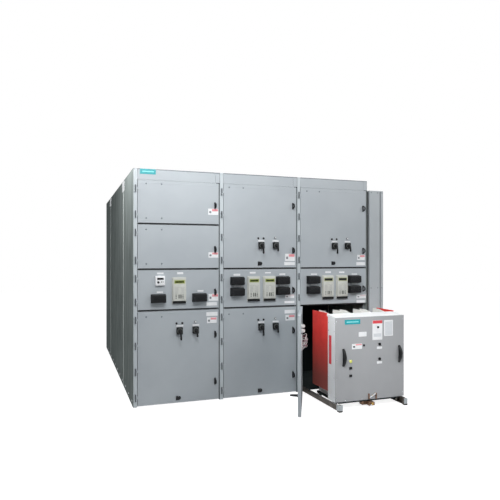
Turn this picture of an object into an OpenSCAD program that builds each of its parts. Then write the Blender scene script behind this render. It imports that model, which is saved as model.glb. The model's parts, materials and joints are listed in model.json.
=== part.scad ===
// Metal-clad switchgear: a line-up of three vertical sections, two compartments high,
// with the lower right breaker withdrawn on its extension rails and that door open.
// Millimetres. X runs along the front, +Y into the depth, +Z up.
// The origin is on the floor, at the middle of the footprint of the three sections.

/* [Line-up] */
// Width of one vertical section
section_w = 914.4; // [880:0.1:960]
// Depth from the front plane to the rear covers
depth = 3400; // [3000:1:3700]
// Height from the floor to the roof
height = 2419; // [2380:1:2480]
// Thickness of the steel sheet
sheet = 3; // [2:0.5:4]
// Height of the header strip above the doors
header_h = 110; // [90:1:130]
// Width of the narrow plate at the right end of each header
header_end_w = 45; // [30:1:60]
// Height of the lower breaker compartment
lower_h = 975; // [960:1:990]
// Height of the instrument compartment
instrument_h = 422; // [410:1:440]
// Height of the middle compartment of section 1
middle_h = 465; // [450:1:485]
// Depth of the front frame, which ends at the first joint in the side sheets
front_frame_d = 856; // [780:1:930]
// Depth of the rear frame, behind the second joint in the side sheets
rear_frame_d = 836; // [760:1:920]
// Gap in the joint between two side sheets
sheet_joint = 2; // [1:0.5:4]
// Width of the battens over those joints on the end walls
batten_w = 14; // [10:1:20]
// Thickness of the battens
batten_t = 3; // [2:0.5:4]
// Distance of the battens' upper ends from the roof
batten_drop = 62; // [40:1:100]
// How far the roof plates and rear covers are set in from the walls' edges
cover_inset = 5; // [4:1:10]

/* [Frame] */
// Width of the hinge post's face
post_w = 38; // [37:1:44]
// Depth of the hinge post
post_d = 45; // [35:1:60]
// Width of the jamb behind the latch side of a door
jamb_w = 24; // [20:1:30]
// Depth of the jamb and of the rails between doors
jamb_d = 45; // [35:1:60]
// Height of a rail between two doors
rail_h = 30; // [20:1:34]
// Height of the flat sill under the lower doors
sill_h = 10; // [8:1:14]
// Height of the base channels
base_h = 75; // [60:1:100]
// Width of the base channels
base_w = 40; // [36:1:43]
// Wall of the base channels
base_t = 6; // [5:0.5:8]
// Width of the middle cross channel under the line-up
cross_w = 80; // [60:1:100]
// Radius of the anchor bolt holes
anchor_r = 9; // [7:0.5:11]
// Distance of the front anchor holes from the front plane
anchor_front = 200; // [150:1:260]
// Distance of the rear anchor holes from the rear covers
anchor_rear = 200; // [150:1:260]

/* [Doors] */
// Depth of a door's folded edge
leaf_d = 32; // [30:1:34]
// Gap beside a door, and behind it
door_gap = 5; // [5:0.5:6]
// Gap between a door and the one above it
door_gap_z = 11; // [9:1:13]
// Gap between a door's latch edge and the next section
latch_gap = 14; // [10:1:18]
// Clearance of a lower door above the floor
floor_gap = 12; // [10:1:20]
// Distance of the hinge line from the section's left side
hinge_x = 20; // [16:1:24]
// Radius of a hinge knuckle
hinge_r = 7; // [6:0.5:8]
// Radius of a hinge pin
pin_r = 3.5; // [3:0.25:4]
// Radial clearance of a hinge pin
pin_clear = 0.1; // [0.05:0.05:0.2]
// Height of one hinge knuckle
knuckle_h = 24; // [18:1:30]
// Vertical clearance between hinge knuckles
knuckle_clear = 0.3; // [0.2:0.1:0.6]
// Thickness of a hinge plate
hinge_plate = 3; // [2:0.5:4]
// Distance of the outer hinges from a door's top and bottom
hinge_inset = 92; // [80:1:110]
// How far the lower door of section 3 stands open
open_angle = 118.5; // [110:0.5:125]

/* [Door fittings] */
// Distance of the handles from the section's left side
handle_x = 860; // [845:1:875]
// Length of a door handle
handle_len = 74; // [66:1:84]
// Width of a door handle
handle_w = 16; // [13:1:19]
// How far a door handle stands out
handle_out = 46; // [38:1:56]
// Distance of the upper handle of a tall door from its bottom edge
handle_high = 694; // [650:1:760]
// Distance of the lower handle of a tall door from its bottom edge
handle_low = 197; // [160:1:220]
// Distance of the handle of a short door from its bottom edge
handle_short = 205; // [150:1:230]
// Distance of the breaker control switch from the section's left side
switch_x = 473; // [460:1:490]
// Distance of the second control switch from the section's left side
switch2_x = 645; // [630:1:660]
// Height of the control switches over the lower door's bottom edge
switch_low_z = 757; // [700:1:760]
// Height of the control switches over the upper door's bottom edge
switch_high_z = 252; // [230:1:280]
// Width of a control switch plate
switch_w = 64; // [60:1:70]
// Depth of a control switch body
switch_d = 32; // [25:1:40]
// Length of a pistol grip
grip_len = 96; // [80:1:105]
// Radius of an indicating lamp
lamp_r = 11; // [9:0.5:13]
// Height of the lamps over the switch
lamp_up = 78; // [70:1:84]
// Half the distance between the paired lamps
lamp_half = 31; // [26:1:36]
// Distance of the racking port from the section's left side
port_x = 462; // [440:1:480]
// Height of the racking port over the door's bottom edge
port_z = 54; // [40:1:60]
// Radius of the racking port
port_r = 28; // [24:1:32]

/* [Inside the open door] */
// Distance of the terminal block from the section's left side
terminal_x = 470; // [440:1:520]
// Drop of the terminal block's foot below the lower compartment's top
terminal_drop = 400; // [370:1:430]
// Width of the terminal block
terminal_w = 44; // [36:1:52]
// Depth of the terminal block
terminal_d = 62; // [50:1:70]
// Height of the terminal block
terminal_h = 150; // [130:1:170]
// Radius of the round devices over the terminal block
device_r = 20; // [16:1:22]
// Height of the lower round device over the block's foot
device_up = 190; // [175:1:195]
// Distance between the two round devices
device_pitch = 48; // [46:1:56]

/* [Instruments] */
// Width of a protective relay
relay_w = 150; // [140:1:160]
// Height of a protective relay
relay_h = 272; // [240:1:280]
// How far a relay stands out
relay_d = 26; // [20:1:34]
// Width of a test block
block_w = 156; // [145:1:165]
// Height of a test block
block_h = 90; // [80:1:96]
// How far a test block stands out
block_d = 62; // [50:1:70]
// Side of the panel meter
meter_s = 100; // [90:1:110]
// How far the panel meter stands out
meter_d = 24; // [16:1:30]
// Distance of the meter from the left side of section 1
meter_x = 269; // [240:1:300]
// Height of the meter over the door's bottom edge
meter_up = 304; // [280:1:330]
// Distance of the relay of section 1 from the section's left side
relay_x = 470; // [460:1:500]
// Distance of the left one of two relays from the section's left side
relay_left_x = 385; // [375:1:395]
// Distance of the right one of two relays from the section's left side
relay_right_x = 571; // [565:1:590]
// Height of the relays over the door's bottom edge
relay_up = 200; // [180:1:220]
// Distance of the left test block of section 1 from the section's left side
block1_left_x = 252; // [240:1:290]
// Distance of the right test block of section 1 from the section's left side
block1_right_x = 687; // [670:1:700]
// Height of the test blocks of section 1 over the door's bottom edge
block1_up = 121; // [90:1:130]
// Distance of the left test blocks of sections 2 and 3 from the section's left side
block_left_x = 194; // [185:1:205]
// Distance of the right test blocks of sections 2 and 3 from the section's left side
block_right_x = 730; // [728:1:740]
// Height of the lower test blocks over the door's bottom edge
block_up = 171; // [150:1:180]
// Distance from a lower test block to the one above it
block_pitch = 117; // [105:1:120]
// Height of the handle of an instrument door over the door's bottom edge
instrument_handle_up = 175; // [150:1:200]

/* [End column] */
// Width of the folded column at the right end
column_w = 225; // [205:1:245]
// Width of the recess at the column's left side
column_recess = 34; // [28:1:40]
// Depth of the folded column
column_d = 120; // [90:1:150]
// Width of the column's right flange
column_flange = 32; // [26:1:40]
// Width of the groove before that flange
column_groove = 14; // [10:1:18]
// Depth of the recess and of the groove
column_step = 24; // [18:1:32]

/* [Withdrawn breaker] */
// Clearance of the breaker on each side of its opening
truck_clear = 19; // [19:0.5:22]
// How far the breaker's front stands out of the front plane
truck_out = 705; // [680:1:730]
// How far behind the front plane the breaker's front stands in its test position
test_inset = 110; // [90:1:140]
// Gap between the disconnects and the closed shutters in the test position
shutter_gap = 77; // [60:1:120]
// Height of the front panel's bottom edge
panel_z0 = 80; // [76:1:90]
// Height of the front panel's top edge
panel_z1 = 918; // [900:1:925]
// Depth of the operator housing behind the front panel
housing_d = 140; // [120:1:170]
// Rise of the top deck from the front to the back
deck_rise = 22; // [12:1:24]
// Thickness of the barrier sheets
barrier_t = 4; // [3:0.5:6]
// Depth of the barriers behind the housing
barrier_d = 315; // [290:1:350]
// Top of the barriers
barrier_z1 = 950; // [944:1:954]
// Bottom of the barriers
barrier_z0 = 160; // [130:1:180]
// Distance between the poles
pole_pitch = 254; // [240:1:258]
// Radius of a pole
pole_r = 62; // [50:1:66]
// Height of the lower primary disconnects
disconnect_z0 = 390; // [360:1:420]
// Height of the upper primary disconnects
disconnect_z1 = 730; // [700:1:760]
// Radius of a disconnect arm
arm_r = 24; // [20:1:30]
// Radius of a finger cluster
cluster_r = 42; // [36:1:48]
// Clearance of a disconnect on its pole
seat_clear = 0.05; // [0.02:0.01:0.2]
// Reach of the disconnects behind the barriers
disconnect_reach = 200; // [150:1:240]
// Radius of a truck wheel
wheel_r = 25; // [20:1:28]
// Width of a truck wheel
wheel_w = 24; // [18:1:26]
// Gap between a wheel and its rail
wheel_gap = 0.3; // [0.2:0.1:0.5]
// Distance of the left grab handle from the front panel's left edge
grab_left_u = 93; // [70:1:120]
// Distance of the right grab handle from the front panel's left edge
grab_right_u = 753; // [710:1:760]
// Height of the grab handles' middle
grab_z = 521; // [480:1:560]
// Length of a grab handle
grab_len = 178; // [150:1:200]
// Width of a grab handle
grab_w = 26; // [20:1:32]
// How far a grab handle stands out
grab_out = 44; // [36:1:60]
// Distance of the push-buttons from the front panel's left edge
button_u = 514; // [490:1:560]
// Height of the upper push-button
button_high_z = 633; // [610:1:660]
// Height of the lower push-button
button_low_z = 483; // [460:1:520]
// Radius of a push-button
button_r = 15; // [12:1:18]
// Distance of the indicators from the front panel's left edge
indicator_u = 174; // [150:1:210]
// Height of the round indicator
indicator_z = 479; // [460:1:520]
// Radius of the round indicator
indicator_r = 19; // [15:1:24]
// Height of the upper square indicator
counter_high_z = 412; // [400:1:430]
// Distance of the racking unit's screw from the front panel's left edge
racking_u = 400; // [390:1:430]
// Height of the lower square indicator
counter_low_z = 335; // [320:1:370]

/* [Rails] */
// Width of a rail's flange
rail_w = 42; // [38:1:48]
// Height of a rail
track_h = 58; // [50:1:60]
// Thickness of a rail
track_t = 4; // [3:0.5:5]
// Distance of a rail's web inside the breaker's side
track_inset = 4; // [3:0.5:8]
// How far a rail's front end stands before the breaker
track_nose = 26; // [20:1:40]
// Gap between the fixed rails and the compartment's back
rail_end_gap = 32; // [20:1:60]
// Side of a rail's front leg
leg_s = 36; // [30:1:40]

/* [Hidden] */
$fn = 32;
front = -depth / 2;
back = depth / 2;
function left_of(i) = (i - 2.5) * section_w;   // left side of section i, counted from 1
function right_of(i) = left_of(i + 1) - sheet; // inner face of the wall on its right
z_lower = lower_h;
z_instrument = lower_h + instrument_h;
z_middle = z_instrument + middle_h;
z_header = height - header_h;
// level of the door's bottom, its top, and how many hinges it has
lower_span = [floor_gap - door_gap_z / 2, z_lower, 4];
instrument_span = [z_lower, z_instrument, 2];
middle_span = [z_instrument, z_middle, 2];
top_span = [z_middle, z_header, 2];
upper_span = [z_instrument, z_header, 4];
hinge_y = front - hinge_r;
frame_y = front + leaf_d + door_gap;
cell_y = frame_y + jamb_d;
cover_y = back - cover_inset;                  // outer face of the rear covers
roof_z = height - cover_inset;                 // top of the roof plates
rail_y = max(frame_y, front + post_d);         // front face of what lies behind the posts
// the compartments are as deep as the breaker in its test position needs
cell_d = test_inset + housing_d + barrier_d + disconnect_reach + shutter_gap + sheet;
leaf_x = post_w + door_gap;
hinge_h = 3 * knuckle_h + 2 * knuckle_clear;

// ---- shared shapes ----

module paint() { color([0.56, 0.59, 0.62]) children(); }
module dark_paint() { color([0.36, 0.40, 0.40]) children(); }
module black() { color([0.08, 0.08, 0.09]) children(); }
module zinc() { color([0.62, 0.62, 0.60]) children(); }

// a box between two corners
module block(low, high) { translate(low) cube(high - low); }

function hinge_levels(span) = [for (k = [0 : span[2] - 1])
    span[0] + hinge_inset + k * (span[1] - span[0] - 2 * hinge_inset) / (span[2] - 1)];

// the half of a hinge that the post carries: two knuckles, the pin and their plates
module post_hinge(i, z) {
    translate([left_of(i) + hinge_x, hinge_y, z - hinge_h / 2]) {
        cylinder(r = pin_r, h = hinge_h);
        for (k = [0, 1]) translate([0, 0, k * (hinge_h - knuckle_h)]) {
            cylinder(r = hinge_r, h = knuckle_h);
            translate([-hinge_x + 2, hinge_r - hinge_plate, 0])
                cube([post_w - 4, hinge_plate, knuckle_h]);
        }
    }
}

// the half that the door carries: the middle knuckle and its strap
module door_hinge(i, z) {
    translate([left_of(i) + hinge_x, hinge_y, z - knuckle_h / 2]) difference() {
        union() {
            cylinder(r = hinge_r, h = knuckle_h);
            translate([0, hinge_r - hinge_plate, 0])
                cube([leaf_x - hinge_x + 28, hinge_plate, knuckle_h]);
        }
        translate([0, 0, -1]) cylinder(r = pin_r + pin_clear, h = knuckle_h + 2);
    }
}

// a folded sheet door: a shallow pan that is open at its back, with its hinge straps
module door_leaf(i, span) {
    x0 = left_of(i) + leaf_x;
    x1 = left_of(i + 1) - latch_gap;
    z0 = span[0] + door_gap_z / 2;
    z1 = span[1] - door_gap_z / 2;
    paint() union() {
        difference() {
            block([x0, front, z0], [x1, front + leaf_d, z1]);
            block([x0 + sheet, front + sheet, z0 + sheet], [x1 - sheet, front + leaf_d + 1, z1 - sheet]);
        }
        for (z = hinge_levels(span)) door_hinge(i, z);
    }
}

// a bow handle standing out of a face at y = 0, its length along Z
module bow_handle(len, w, out) {
    foot = out * 0.3;
    rise = out - foot;
    r = (len * len / 4 + rise * rise) / (2 * rise);
    translate([-w / 2, 0, 0]) rotate([0, -90, 180]) linear_extrude(height = w) union() {
        translate([-len / 2, 0]) square([len, foot]);
        intersection() {
            translate([0, out - r]) circle(r = r, $fn = 64);
            translate([-len / 2, 0]) square([len, out]);
        }
    }
}

module door_handle(i, z) {
    translate([left_of(i) + handle_x, front, z])
        bow_handle(handle_len, handle_w, handle_out);
}

// a control switch: square body, round hub and a pistol grip that points down and right
module control_switch(i, x, z) {
    hub_r = switch_w * 0.36;
    translate([left_of(i) + x, front, z]) {
        translate([-switch_w / 2, -switch_d, -switch_w / 2]) cube([switch_w, switch_d, switch_w]);
        translate([0, -switch_d, 0]) rotate([90, 0, 0]) cylinder(r = hub_r, h = switch_d * 0.5);
        translate([0, -switch_d * 1.5, 0]) rotate([0, -6, 0]) translate([-11, -26, -grip_len])
            cube([22, 26, grip_len + 12]);
    }
}

module lamp(i, x, z) {
    translate([left_of(i) + x, front, z]) rotate([90, 0, 0]) cylinder(r = lamp_r, h = lamp_r * 1.2);
}

// a racking port: a half-round cover, flat side down
module racking_port(i, z) {
    translate([left_of(i) + port_x, front, z]) rotate([90, 0, 0])
        linear_extrude(height = 12) intersection() {
            circle(r = port_r);
            translate([-port_r, -port_r * 0.72]) square(2 * port_r);
        }
}

// what a breaker compartment's door carries
module breaker_door_controls(i, span, switch_z) {
    z0 = span[0];
    black() {
        for (z = [handle_low, handle_high]) door_handle(i, z0 + z);
        control_switch(i, switch_x, z0 + switch_z);
        control_switch(i, switch2_x, z0 + switch_z);
        for (x = [switch_x - lamp_half, switch_x + lamp_half, switch2_x])
            lamp(i, x, z0 + switch_z + lamp_up);
        racking_port(i, z0 + port_z);
    }
}

// a box that stands out of a door's face, given by its middle
module face_box(i, x, z, w, h, d) {
    translate([left_of(i) + x - w / 2, front - d, z - h / 2]) cube([w, d, h]);
}

// ---- structure ----

// one long channel with its flanges pointing to +X or, mirrored, to -X
module base_channel(x, side, y0, y1) {
    x0 = side > 0 ? x : x - base_w;
    holes = [front + anchor_front, back - anchor_rear];
    difference() {
        block([x0, y0, 0], [x0 + base_w, y1, base_h]);
        block([side > 0 ? x0 + base_t : x0 - 1, y0 - 1, base_t],
            [side > 0 ? x0 + base_w + 1 : x0 + base_w - base_t, y1 + 1, base_h - base_t]);
        for (y = holes) translate([x0 + (base_w + side * base_t) / 2, y, -1])
            cylinder(r = anchor_r, h = base_t + 2);
    }
}

module base_frame() {
    side_y0 = cell_y;
    side_y1 = cover_y - sheet - base_w;
    dark_paint() for (i = [1 : 3]) {
        x0 = left_of(i);
        x1 = right_of(i);
        union() {
            base_channel(x0, 1, side_y0, side_y1);
            base_channel(x1, -1, side_y0, side_y1);
            // sill under the door, rear channel and the middle cross channel
            block([x0, rail_y, 0], [x1, cell_y, sill_h]);
            block([x0, side_y1, 0], [x1, side_y1 + base_w, base_h]);
            block([x0 + base_w, -cross_w / 2, 0], [x1 - base_w, cross_w / 2, base_t]);
            for (y = [-cross_w / 2, cross_w / 2 - base_t])
                block([x0 + base_w, y, 0], [x1 - base_w, y + base_t, base_h]);
        }
    }
}

// the depths at which the walls and the roof are cut into three sheets
cuts = [front, front + front_frame_d, back - rear_frame_d, back];

// the wall on the left of section i (i = 4 is the right end), in three sheets
module section_wall(i) {
    x = left_of(i) - sheet;
    for (k = [0 : 2])
        block([x, cuts[k] + (k > 0 ? sheet_joint / 2 : 0), 0],
            [x + sheet, cuts[k + 1] - (k < 2 ? sheet_joint / 2 : 0), height]);
}

// battens that cover the joints on the outside of an end wall whose outer face is at x
module joint_battens(x) {
    for (y = [cuts[1], cuts[2]])
        block([x, y - batten_w / 2, base_h], [x + batten_t, y + batten_w / 2, height - batten_drop]);
}

module left_end_wall() {
    dark_paint() union() {
        section_wall(1);
        joint_battens(left_of(1) - sheet - batten_t);
    }
}
module section_divider_1() { dark_paint() section_wall(2); }
module section_divider_2() { dark_paint() section_wall(3); }
module right_end_wall() {
    dark_paint() union() {
        section_wall(4);
        joint_battens(left_of(4));
    }
}

module roof_plates() {
    paint() for (i = [1 : 3], k = [0 : 2]) difference() {
        block([left_of(i), cuts[k] + (k > 0 ? sheet_joint / 2 : sheet), roof_z - sheet],
            [right_of(i), k < 2 ? cuts[k + 1] - sheet_joint / 2 : cover_y - sheet, roof_z]);
        // the hinge post comes up through the corner
        block([left_of(i) - 1, front, roof_z - sheet - 1],
            [left_of(i) + post_w, front + post_d, roof_z + 1]);
    }
}

module rear_covers() {
    paint() for (i = [1 : 3]) {
        block([left_of(i), cover_y - sheet, 0], [right_of(i), cover_y, height / 2 - sheet_joint / 2]);
        block([left_of(i), cover_y - sheet, height / 2 + sheet_joint / 2], [right_of(i), cover_y, roof_z]);
    }
}

module header_plates() {
    paint() for (i = [1 : 3]) {
        x1 = right_of(i) - header_end_w;
        block([left_of(i) + post_w + sheet_joint, front, z_header],
            [x1 - sheet_joint, front + sheet, height]);
        block([x1, front, z_header], [right_of(i), front + sheet, height]);
    }
}

module hinge_posts() {
    spans = [[lower_span, instrument_span, middle_span, top_span],
        [lower_span, instrument_span, upper_span], [lower_span, instrument_span, upper_span]];
    paint() for (i = [1 : 3]) union() {
        block([left_of(i), front, 0], [left_of(i) + post_w, front + post_d, height]);
        for (span = spans[i - 1], z = hinge_levels(span)) post_hinge(i, z);
    }
}

module latch_jambs() {
    dark_paint() for (i = [1 : 3])
        block([right_of(i) - jamb_w, frame_y, sill_h], [right_of(i), cell_y, z_header]);
}

// rails across each front, between the post and the jamb, at every compartment level
module door_rails() {
    dark_paint() for (i = [1 : 3])
        for (z = i == 1 ? [z_lower, z_instrument, z_middle, z_header] : [z_lower, z_instrument, z_header])
            block([left_of(i), rail_y, z == z_header ? z - rail_h : z - rail_h / 2],
                [right_of(i) - jamb_w, cell_y, z == z_header ? z : z + rail_h / 2]);
}

module compartment_shelves() {
    dark_paint() for (i = [1 : 3])
        for (z = i == 1 ? [z_lower, z_instrument, z_middle] : [z_lower, z_instrument])
            block([left_of(i), cell_y, z - sheet / 2], [right_of(i), front + cell_d, z + sheet / 2]);
}

module compartment_backs() {
    dark_paint() for (i = [1 : 3])
        block([left_of(i) + base_w, front + cell_d, base_h],
            [right_of(i) - base_w, front + cell_d + sheet, roof_z - sheet]);
}

// ---- the open breaker compartment of section 3 ----

cell_x0 = left_of(3) + post_w;
cell_x1 = right_of(3) - jamb_w;
cell_x = (cell_x0 + cell_x1) / 2;
truck_half = (cell_x1 - cell_x0) / 2 - truck_clear;
truck_y = front - truck_out;
track_x = truck_half - track_inset;          // outer face of a rail's web
axle_z = sill_h + track_t + wheel_gap + wheel_r;
side_x = track_x - rail_w - 4;               // outer face of the truck's side members

module compartment_floors() {
    dark_paint() for (i = [1 : 3])
        block([left_of(i) + base_t, cell_y, sill_h - sheet], [right_of(i) - base_t, front + cell_d, sill_h]);
}

// a rail of L section with its flange inwards, and a low lip
module track(y0, y1) {
    for (s = [-1, 1]) translate([cell_x, 0, sill_h]) mirror([s > 0 ? 0 : 1, 0, 0]) {
        block([track_x - track_t, y0, 0], [track_x, y1, track_h]);
        block([track_x - rail_w, y0, 0], [track_x, y1, track_t]);
    }
}

module fixed_rails() {
    zinc() track(cell_y, front + cell_d - rail_end_gap);
}

// the removable rails hook over the sill and stand on two front legs
module extension_rails() {
    y0 = truck_y - track_nose;
    zinc() union() {
        track(y0, cell_y - wheel_gap);
        for (s = [-1, 1]) translate([cell_x, 0, 0]) mirror([s > 0 ? 0 : 1, 0, 0])
            block([track_x - leg_s, y0 - leg_s, 0], [track_x, y0, sill_h + track_h]);
    }
}

// shutters that close off the primary contacts behind the breaker
module cell_shutters() {
    y = front + cell_d;
    zinc() for (z = [disconnect_z0, disconnect_z1])
        block([cell_x - pole_pitch - 100, y - sheet, z - 90], [cell_x + pole_pitch + 100, y, z + 90]);
}

// folded column in the front plane, beyond section 3: a recess, the face, a groove and a flange
module right_end_column() {
    t = sheet;
    face_x = column_recess;
    flange_x = column_w - column_flange;
    groove_x = flange_x - column_groove;
    paint() translate([left_of(4), front, 0]) linear_extrude(height = z_header) union() {
        translate([0, column_step - t]) square([t, column_d - column_step + t]);
        translate([0, column_step - t]) square([face_x + t, t]);
        translate([face_x, 0]) square([t, column_step]);
        translate([face_x, 0]) square([groove_x - face_x, t]);
        translate([groove_x - t, 0]) square([t, column_step]);
        translate([groove_x - t, column_step - t]) square([column_groove + 2 * t, t]);
        translate([flange_x, 0]) square([t, column_step]);
        translate([flange_x, 0]) square([column_flange, t]);
        translate([column_w - t, 0]) square([t, column_d]);
        translate([0, column_d - t]) square([column_w, t]);
    }
}

// ---- doors ----

module section1_upper_door() { door_leaf(1, top_span); }
module section1_upper_handle() { black() door_handle(1, top_span[0] + handle_short); }
module section1_middle_door() { door_leaf(1, middle_span); }
module section1_middle_handle() { black() door_handle(1, middle_span[0] + handle_short); }

relay_z = z_lower + relay_up;
block_z = [z_lower + block_up, z_lower + block_up + block_pitch];
instrument_handle_z = z_lower + instrument_handle_up;

module section1_instrument_door() { door_leaf(1, instrument_span); }
module section1_relay_and_meter() {
    color([0.80, 0.80, 0.74]) face_box(1, relay_x, relay_z, relay_w, relay_h, relay_d);
    color([0.88, 0.88, 0.88]) face_box(1, meter_x, z_lower + meter_up, meter_s, meter_s, meter_d);
}
module section1_test_blocks() {
    black() for (x = [block1_left_x, block1_right_x])
        face_box(1, x, z_lower + block1_up, block_w, block_h, block_d);
}
module section1_instrument_handle() { black() door_handle(1, instrument_handle_z); }

module paired_relays(i) {
    color([0.80, 0.80, 0.74]) for (x = [relay_left_x, relay_right_x])
        face_box(i, x, relay_z, relay_w, relay_h, relay_d);
}
module paired_blocks(i) {
    black() for (x = [block_left_x, block_right_x], z = block_z) face_box(i, x, z, block_w, block_h, block_d);
}

module section1_lower_door() { door_leaf(1, lower_span); }
module section1_lower_controls() { breaker_door_controls(1, lower_span, switch_low_z - lower_span[0]); }

module section2_upper_door() { door_leaf(2, upper_span); }
module section2_upper_controls() { breaker_door_controls(2, upper_span, switch_high_z); }
module section2_instrument_door() { door_leaf(2, instrument_span); }
module section2_relays() { paired_relays(2); }
module section2_test_blocks() { paired_blocks(2); }
module section2_instrument_handle() { black() door_handle(2, instrument_handle_z); }
module section2_lower_door() { door_leaf(2, lower_span); }
module section2_lower_controls() { breaker_door_controls(2, lower_span, switch_low_z - lower_span[0]); }

module section3_upper_door() { door_leaf(3, upper_span); }
module section3_upper_controls() { breaker_door_controls(3, upper_span, switch_high_z); }
module section3_instrument_door() { door_leaf(3, instrument_span); }
module section3_relays() { paired_relays(3); }
module section3_test_blocks() { paired_blocks(3); }
module section3_instrument_handle() { black() door_handle(3, instrument_handle_z); }

// everything on the open door is drawn closed, then turned about its hinge line
module swung_open() {
    translate([left_of(3) + hinge_x, hinge_y, 0]) rotate([0, 0, -open_angle])
        translate([-left_of(3) - hinge_x, -hinge_y, 0]) children();
}

module section3_lower_door() { swung_open() door_leaf(3, lower_span); }

// the handle of the open door is turned level; its cam is on the inside
module section3_lower_latch() {
    black() swung_open() translate([left_of(3) + handle_x, front, lower_span[0] + handle_low]) {
        rotate([0, 90, 0]) bow_handle(handle_len, handle_w, handle_out);
        translate([-20, sheet, -14]) cube([34, 20, 28]);
    }
}

// terminals and two round devices on the inside of the open door
module section3_door_terminals() {
    color([0.86, 0.84, 0.82]) swung_open()
        translate([left_of(3) + terminal_x, front + sheet, z_lower - terminal_drop]) {
            cube([terminal_w, terminal_d, terminal_h]);
            for (z = [device_up, device_up + device_pitch]) translate([terminal_w / 2, 0, z])
                rotate([-90, 0, 0]) cylinder(r = device_r, h = terminal_d);
        }
}

// ---- the withdrawn breaker, drawn about the middle of its front ----

module at_truck() { translate([cell_x, truck_y, 0]) children(); }
deck_back = housing_d + 20;
frame_z0 = panel_z0 - 22;                    // underside of the truck's frame
wheel_y = [90, housing_d + barrier_d - 60];

module truck_frame() {
    len = housing_d + barrier_d;
    dark_paint() at_truck() union() {
        for (s = [-1, 1]) mirror([s > 0 ? 0 : 1, 0, 0]) {
            block([side_x - 40, 20, frame_z0], [side_x, len, panel_z0]);
            for (y = wheel_y)
                block([side_x - 10, y - 26, axle_z - 14], [side_x, y + 26, panel_z0]);
        }
        for (y = [20, len - 40]) block([-side_x, y, frame_z0], [side_x, y + 40, panel_z0]);
    }
}

module truck_wheels() {
    x0 = track_x - track_t - 6 - wheel_w;
    zinc() at_truck() for (s = [-1, 1], y = wheel_y) mirror([s > 0 ? 0 : 1, 0, 0])
        translate([0, y, axle_z]) rotate([0, 90, 0]) union() {
            translate([0, 0, side_x]) cylinder(r = 8, h = x0 - side_x + 2);
            translate([0, 0, x0]) cylinder(r = wheel_r, h = wheel_w, $fn = 48);
        }
}

module operator_housing() {
    paint() at_truck() difference() {
        block([-truck_half, sheet, panel_z0], [truck_half, housing_d, panel_z1]);
        block([-truck_half + sheet, sheet - 1, panel_z0 + sheet],
            [truck_half - sheet, housing_d - sheet, panel_z1 + 1]);
    }
}

module breaker_front_panel() {
    paint() at_truck() block([-truck_half, 0, panel_z0], [truck_half, sheet, panel_z1]);
}

// a light cover that slopes up from the front edge
module breaker_top_deck() {
    color([0.90, 0.91, 0.92]) at_truck() translate([-truck_half, 0, 0]) rotate([90, 0, 90])
        linear_extrude(height = 2 * truck_half) polygon([[0, panel_z1], [deck_back, panel_z1],
            [deck_back, panel_z1 + deck_rise], [0, panel_z1 + sheet]]);
}

module side_barriers() {
    color([0.80, 0.13, 0.12]) at_truck() for (s = [-1, 1]) mirror([s > 0 ? 0 : 1, 0, 0]) {
        block([truck_half - barrier_t, housing_d, barrier_z0], [truck_half, deck_back, panel_z1]);
        block([truck_half - barrier_t, deck_back, barrier_z0],
            [truck_half, housing_d + barrier_d, barrier_z1]);
    }
}

// white sheets on both sides of each pole, with a sloping top
module phase_barriers() {
    half = pole_pitch / 3;
    y1 = housing_d + barrier_d - 20;
    color([0.90, 0.90, 0.88]) at_truck() for (p = [-1 : 1], s = [-1, 1])
        translate([p * pole_pitch + s * half - barrier_t / 2, 0, 0]) rotate([90, 0, 90])
            linear_extrude(height = barrier_t) polygon([[housing_d, panel_z0], [y1, panel_z0],
                [y1, barrier_z1], [y1 - 110, barrier_z1], [deck_back, panel_z1], [housing_d, panel_z1]]);
}

pole_y = housing_d + barrier_d - 20 - pole_r - 90;

module breaker_poles() {
    color([0.78, 0.78, 0.74]) at_truck() for (p = [-1 : 1]) translate([p * pole_pitch, pole_y, 0]) union() {
        translate([0, 0, disconnect_z0 - 60]) cylinder(r = pole_r, h = disconnect_z1 - disconnect_z0 + 150);
        translate([0, 0, disconnect_z0 + 70]) cylinder(r = pole_r + 12, h = 16);
        translate([0, 0, disconnect_z1 - 70]) cylinder(r = pole_r + 12, h = 16);
        // post insulators that hold the pole on the housing's back
        for (z = [disconnect_z0, disconnect_z1]) translate([0, housing_d - pole_y, z])
            rotate([-90, 0, 0]) cylinder(r = 30, h = pole_y - housing_d);
    }
}

module primary_disconnects() {
    reach = housing_d + barrier_d + disconnect_reach - pole_y;
    color([0.72, 0.45, 0.30]) at_truck() for (p = [-1 : 1], z = [disconnect_z0, disconnect_z1])
        translate([p * pole_pitch, pole_y, z]) rotate([-90, 0, 0]) difference() {
            union() {
                cylinder(r = arm_r, h = reach);
                translate([0, 0, reach - 70]) cylinder(r = cluster_r, h = 70);
            }
            rotate([90, 0, 0]) cylinder(r = pole_r + seat_clear, h = 4 * arm_r, center = true);
        }
}

// grab handles, buttons and windows on the front panel; u runs from the panel's left edge
module on_panel(u, z) { at_truck() translate([u - truck_half, 0, z]) children(); }

module breaker_fittings() {
    black() {
        for (u = [grab_left_u, grab_right_u]) on_panel(u, grab_z) bow_handle(grab_len, grab_w, grab_out);
        for (z = [button_high_z, button_low_z])
            on_panel(button_u, z) rotate([90, 0, 0]) cylinder(r = button_r, h = 14);
        for (z = [counter_high_z, counter_low_z])
            on_panel(indicator_u, z) translate([-16, -6, -12]) cube([32, 6, 24]);
        on_panel(indicator_u, indicator_z) rotate([90, 0, 0]) cylinder(r = indicator_r, h = 8);
    }
}

// the racking screw's housing and floor latch under the panel
module racking_unit() {
    color([0.45, 0.34, 0.27]) on_panel(racking_u, 0) union() {
        block([-85, 12, axle_z - 14], [25, 60, frame_z0]);
        block([-35, -34, axle_z - 14], [35, 12, frame_z0]);
        translate([0, -34, axle_z + 8]) rotate([90, 0, 0]) cylinder(r = 13, h = 14);
    }
}

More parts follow.
